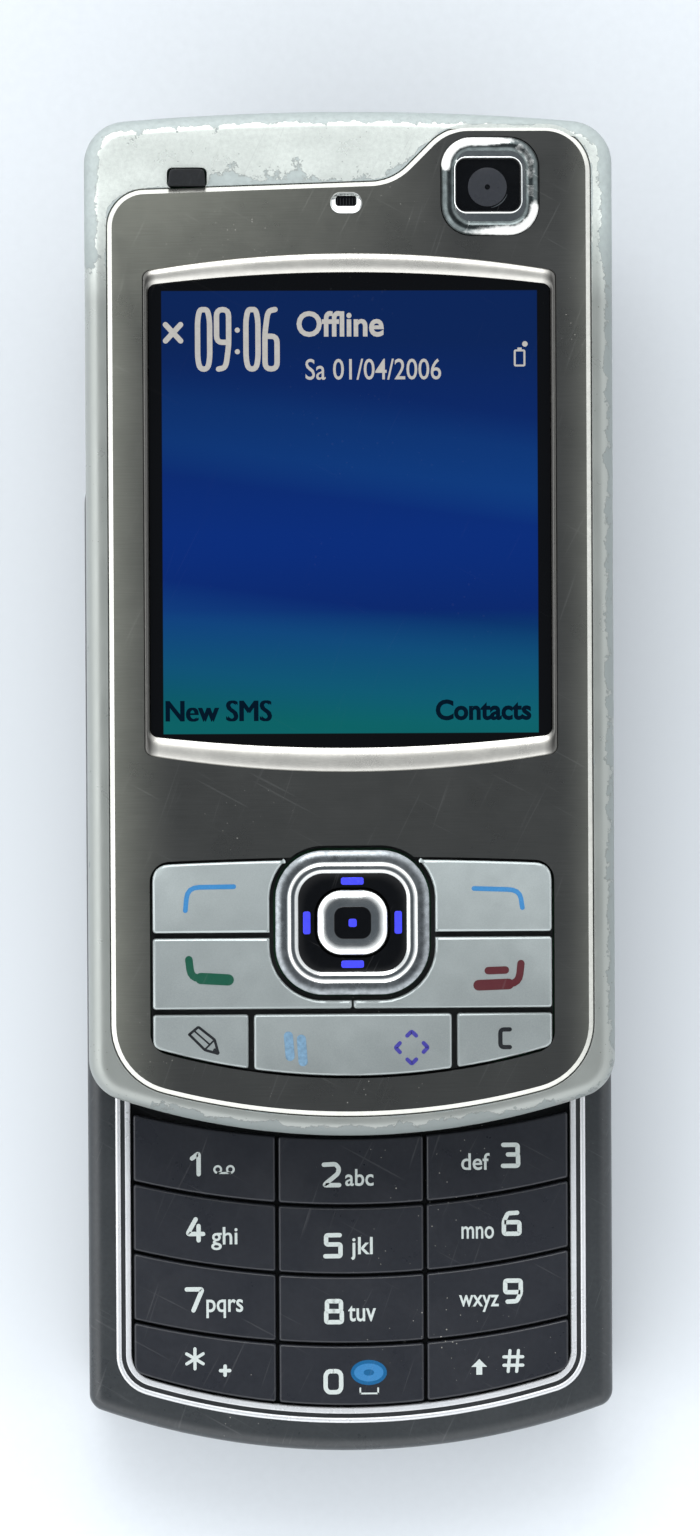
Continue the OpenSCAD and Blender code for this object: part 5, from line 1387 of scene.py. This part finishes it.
class PHONE_OT_housing(bpy.types.Operator):
    """Front casing of the lower half: rounded edge, bed of the keys, seat of the slide, camera key's pocket.

    Ring k of the edge, for t = 0..90 degrees: inset r (1 - cos t), height BASE_H - r (1 - sin t).
    """

    bl_idname = "phone.housing"
    bl_label = "Lower front casing"

    def execute(self, context):
        r, groove, parting, ceiling = 1.5, shape().groove, 7, 10.2
        t = np.radians(np.linspace(0, 90, 7))
        loops = [base_plan(i) for i in (groove, 0, *(r * (1 - np.cos(t))), 1.6, 1.6)]
        loops = loops_round((0, BASE_Y), 0.5, *loops)
        s = Surface().rings(loops[:-2], [parting, parting + groove, *(BASE_H - r * (1 - np.sin(t)))])
        s.cap(loops[-3], BASE_H)
        s.rings([loops[-1], loops[-1], loops[0]], [ceiling, parting, parting])
        s.cap(loops[-1], ceiling)
        y = BASE_Y
        blocks = [(pad_plan(1.58, 14.2), 10.45, 14), (box(-18.1, 18.1, y - 12.9, y + 44.6), 12, 14.1),
                  (box(-19.1, -17, y - 13.2, y + 44.2), 11.25, 14.2),
                  (box(17, 19.1, y - 13.2, y + 44.2), 11.25, 14.2),
                  (box(8.4, 11.6, y + 14.5, y + 16), 9, 14.4), (box(22.6, 27, y + 9.9, y + 18.1), 7.3, 9.9)]
        cuts = [Surface().prism(loop, z0, z1) for loop, z0, z1 in blocks]
        s.piece("lower_front", "base", "housing", "base_front_cover", "housing", cuts=cuts)
        return {"FINISHED"}


CAD_FINISH = {
    "keypad_mat": "dark_rubber", "keypad_board": "board_green", "main_board": "board_green",
    "battery_contacts": "contact_gold", "sim_holder": "satin_metal", "rear_camera": "dark_rubber",
    "camera_windows": "clear_window", "macro_lever": "satin_metal", "loudspeaker": "dark_groove",
    "vibration_motor": "satin_metal", "vibration_weight": "brass", "charging_jack": "dark_rubber",
    "accessory_connector": "dark_rubber", "base_rail_plate": "steel", "base_screws": "screw_steel",
    "battery": "battery_skin", "battery_cover": "back_plastic", "cover_release": "satin_metal",
    "card_door": "housing", "capture_key": "satin_metal", "slide_spring": "steel", "flex_cable": "ribbon",
    "slider_back": "back_plastic", "slider_rails": "steel", "slider_screws": "screw_steel",
    "display": "gloss_black", "slider_board": "board_green", "earpiece": "dark_rubber",
    "front_camera": "dark_rubber", "nav_cradle": "dark_rubber", "base_rear_cover": "back_plastic",
}


class PHONE_OT_inside(bpy.types.Operator):
    """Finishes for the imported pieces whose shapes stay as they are: the inside, the slide and the back."""

    bl_idname = "phone.inside"
    bl_label = "Inside, slide and back"

    def execute(self, context):
        for name, finish_name in CAD_FINISH.items():
            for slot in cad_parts[name].material_slots:
                slot.material = mat(finish_name)
        return {"FINISHED"}


# ------------------------------------------------------------------ stage


TILT = (-0.76836, -1.56271, -0.30594)  # how far the camera leans about X, Y and Z, in degrees


def link(name, data):
    """An object of the stage that is linked to the scene."""
    ob = bpy.data.objects.new(name, data)
    bpy.context.scene.collection.objects.link(ob)
    return ob


def lamp(name, place, size, power):
    """A round lamp that faces the phone."""
    light = bpy.data.lights.new(name, "AREA")
    light.shape, light.size, light.energy = "DISK", size, power
    ob = link(name, light)
    ob.location = place
    ob.rotation_euler = (Vector((0, 0, 0)) - Vector(place)).to_track_quat("-Z", "Y").to_euler()


def floor_finish(pale):
    """The floor's colour, a little darker towards the phone's top and paler near the foot of the picture."""
    f = Finish("floor", 0.9, level=0.1)
    n = f.n
    y = n.along(1)
    body = n.mix(n.mapped(y, -56, 75), pale, tone(pale, 0.86))
    body = n.mix(n.mapped(y, -57, -62, 0.0, 0.5), body, tone(pale, 1.1))
    body = n.mix(n.mapped(f.effect("grain", Size=1.0), 0.3, 0.7, 0, 0.3), body, tone(pale, 0.96))
    f.set("Base Color", body)
    return f.material


def room_light(strength):
    """A pale room that is darker overhead and to one side; the camera sees it plain."""
    world = bpy.data.worlds.new("room")
    world.use_nodes = True
    tree = world.node_tree
    tree.nodes.clear()
    n = Nodes(tree)
    way = n.add("SeparateXYZ", {0: n.add("TexCoord")}).node.outputs
    ahead = n.times(n.math("ABSOLUTE", n.math("ADD", way[1], 0.15)), 0.9)
    lean = n.math("SUBTRACT", ahead, n.times(way[0], 0.35))
    ceiling = n.mix(n.mapped(way[2], 0.64, 0.93), srgb(250, 252, 255), srgb(52, 56, 60))
    ceiling = n.mix(n.mapped(lean, 0.5, -0.6, 0.0, 0.6), ceiling, srgb(70, 76, 82))
    around = n.add("Background", {"Color": ceiling, "Strength": strength})
    seen = n.add("Background", {"Color": srgb(244, 248, 252), "Strength": 1.0})
    choice = n.add("MixShader", {0: n.add("LightPath"), 1: around, 2: seen})
    end = tree.nodes.new("ShaderNodeOutputWorld")
    tree.links.new(choice, end.inputs[0])
    return world


class PHONE_OT_stage(bpy.types.Operator):
    """Pale floor, large softbox from the top, a fill from the left and a camera that looks down."""

    bl_idname = "phone.stage"
    bl_label = "Stage"

    def execute(self, context):
        scene = context.scene
        p, reach = scene.phone_stage, 3
        me = bpy.data.meshes.new("floor")
        corners = [(-reach, -reach, 0), (reach, -reach, 0), (reach, reach, 0), (-reach, reach, 0)]
        me.from_pydata(corners, [], [(0, 1, 2, 3)])
        me.materials.append(floor_finish(tuple(p.floor)))
        link("floor", me)
        lamp("softbox", (-0.08, 0.5, 0.5), 0.42, p.lamp)
        lamp("fill", (-0.55, -0.1, 0.45), 0.5, p.fill)
        scene.world = room_light(p.room)
        camera = bpy.data.cameras.new("camera")
        camera.lens, camera.sensor_width, camera.clip_start, camera.clip_end = p.focal, 36, 0.01, 20
        ob = link("camera", camera)
        x, y, z = (Matrix.Rotation(math.radians(a), 4, axis) for a, axis in zip(TILT, "XYZ"))
        place = Vector((p.camera_x, p.camera_y, p.camera_z)) * MM
        ob.matrix_world = Matrix.Translation(place) @ x @ y @ z
        scene.camera = ob
        scene.view_settings.view_transform = "Standard"
        return {"FINISHED"}


class PHONE_PT_panel(bpy.types.Panel):
    """Lists the sizes, the finishes and the steps that build the phone."""

    bl_idname = "PHONE_PT_panel"
    bl_label = "Slider phone"
    bl_space_type = "VIEW_3D"
    bl_region_type = "UI"
    bl_category = "Phone"

    def draw(self, context):
        scene = context.scene
        for group in (scene.phone_shape, scene.phone_finish, scene.phone_stage):
            column = self.layout.box().column()
            for name in group.__annotations__:
                column.prop(group, name)
        column = self.layout.column()
        for step in STEPS:
            column.operator(step.bl_idname)


GROUPS = {"phone_shape": PHONE_PG_shape, "phone_finish": PHONE_PG_finish, "phone_stage": PHONE_PG_stage}
STEPS = (PHONE_OT_finishes, PHONE_OT_frame, PHONE_OT_face, PHONE_OT_rims, PHONE_OT_screen,
         PHONE_OT_camera, PHONE_OT_keys, PHONE_OT_navigation, PHONE_OT_select, PHONE_OT_numbers,
         PHONE_OT_trim, PHONE_OT_housing, PHONE_OT_inside, PHONE_OT_stage)


def register():
    for name, group in GROUPS.items():
        bpy.utils.register_class(group)
        setattr(bpy.types.Scene, name, PointerProperty(type=group))
    for cls in (*STEPS, PHONE_PT_panel):
        bpy.utils.register_class(cls)


def unregister():
    for cls in (PHONE_PT_panel, *reversed(STEPS)):
        bpy.utils.unregister_class(cls)
    for name, group in reversed(GROUPS.items()):
        delattr(bpy.types.Scene, name)
        bpy.utils.unregister_class(group)


def main():
    register()
    for step in STEPS:
        getattr(bpy.ops.phone, step.bl_idname.split(".")[1])()


if __name__ == "__main__":
    main()
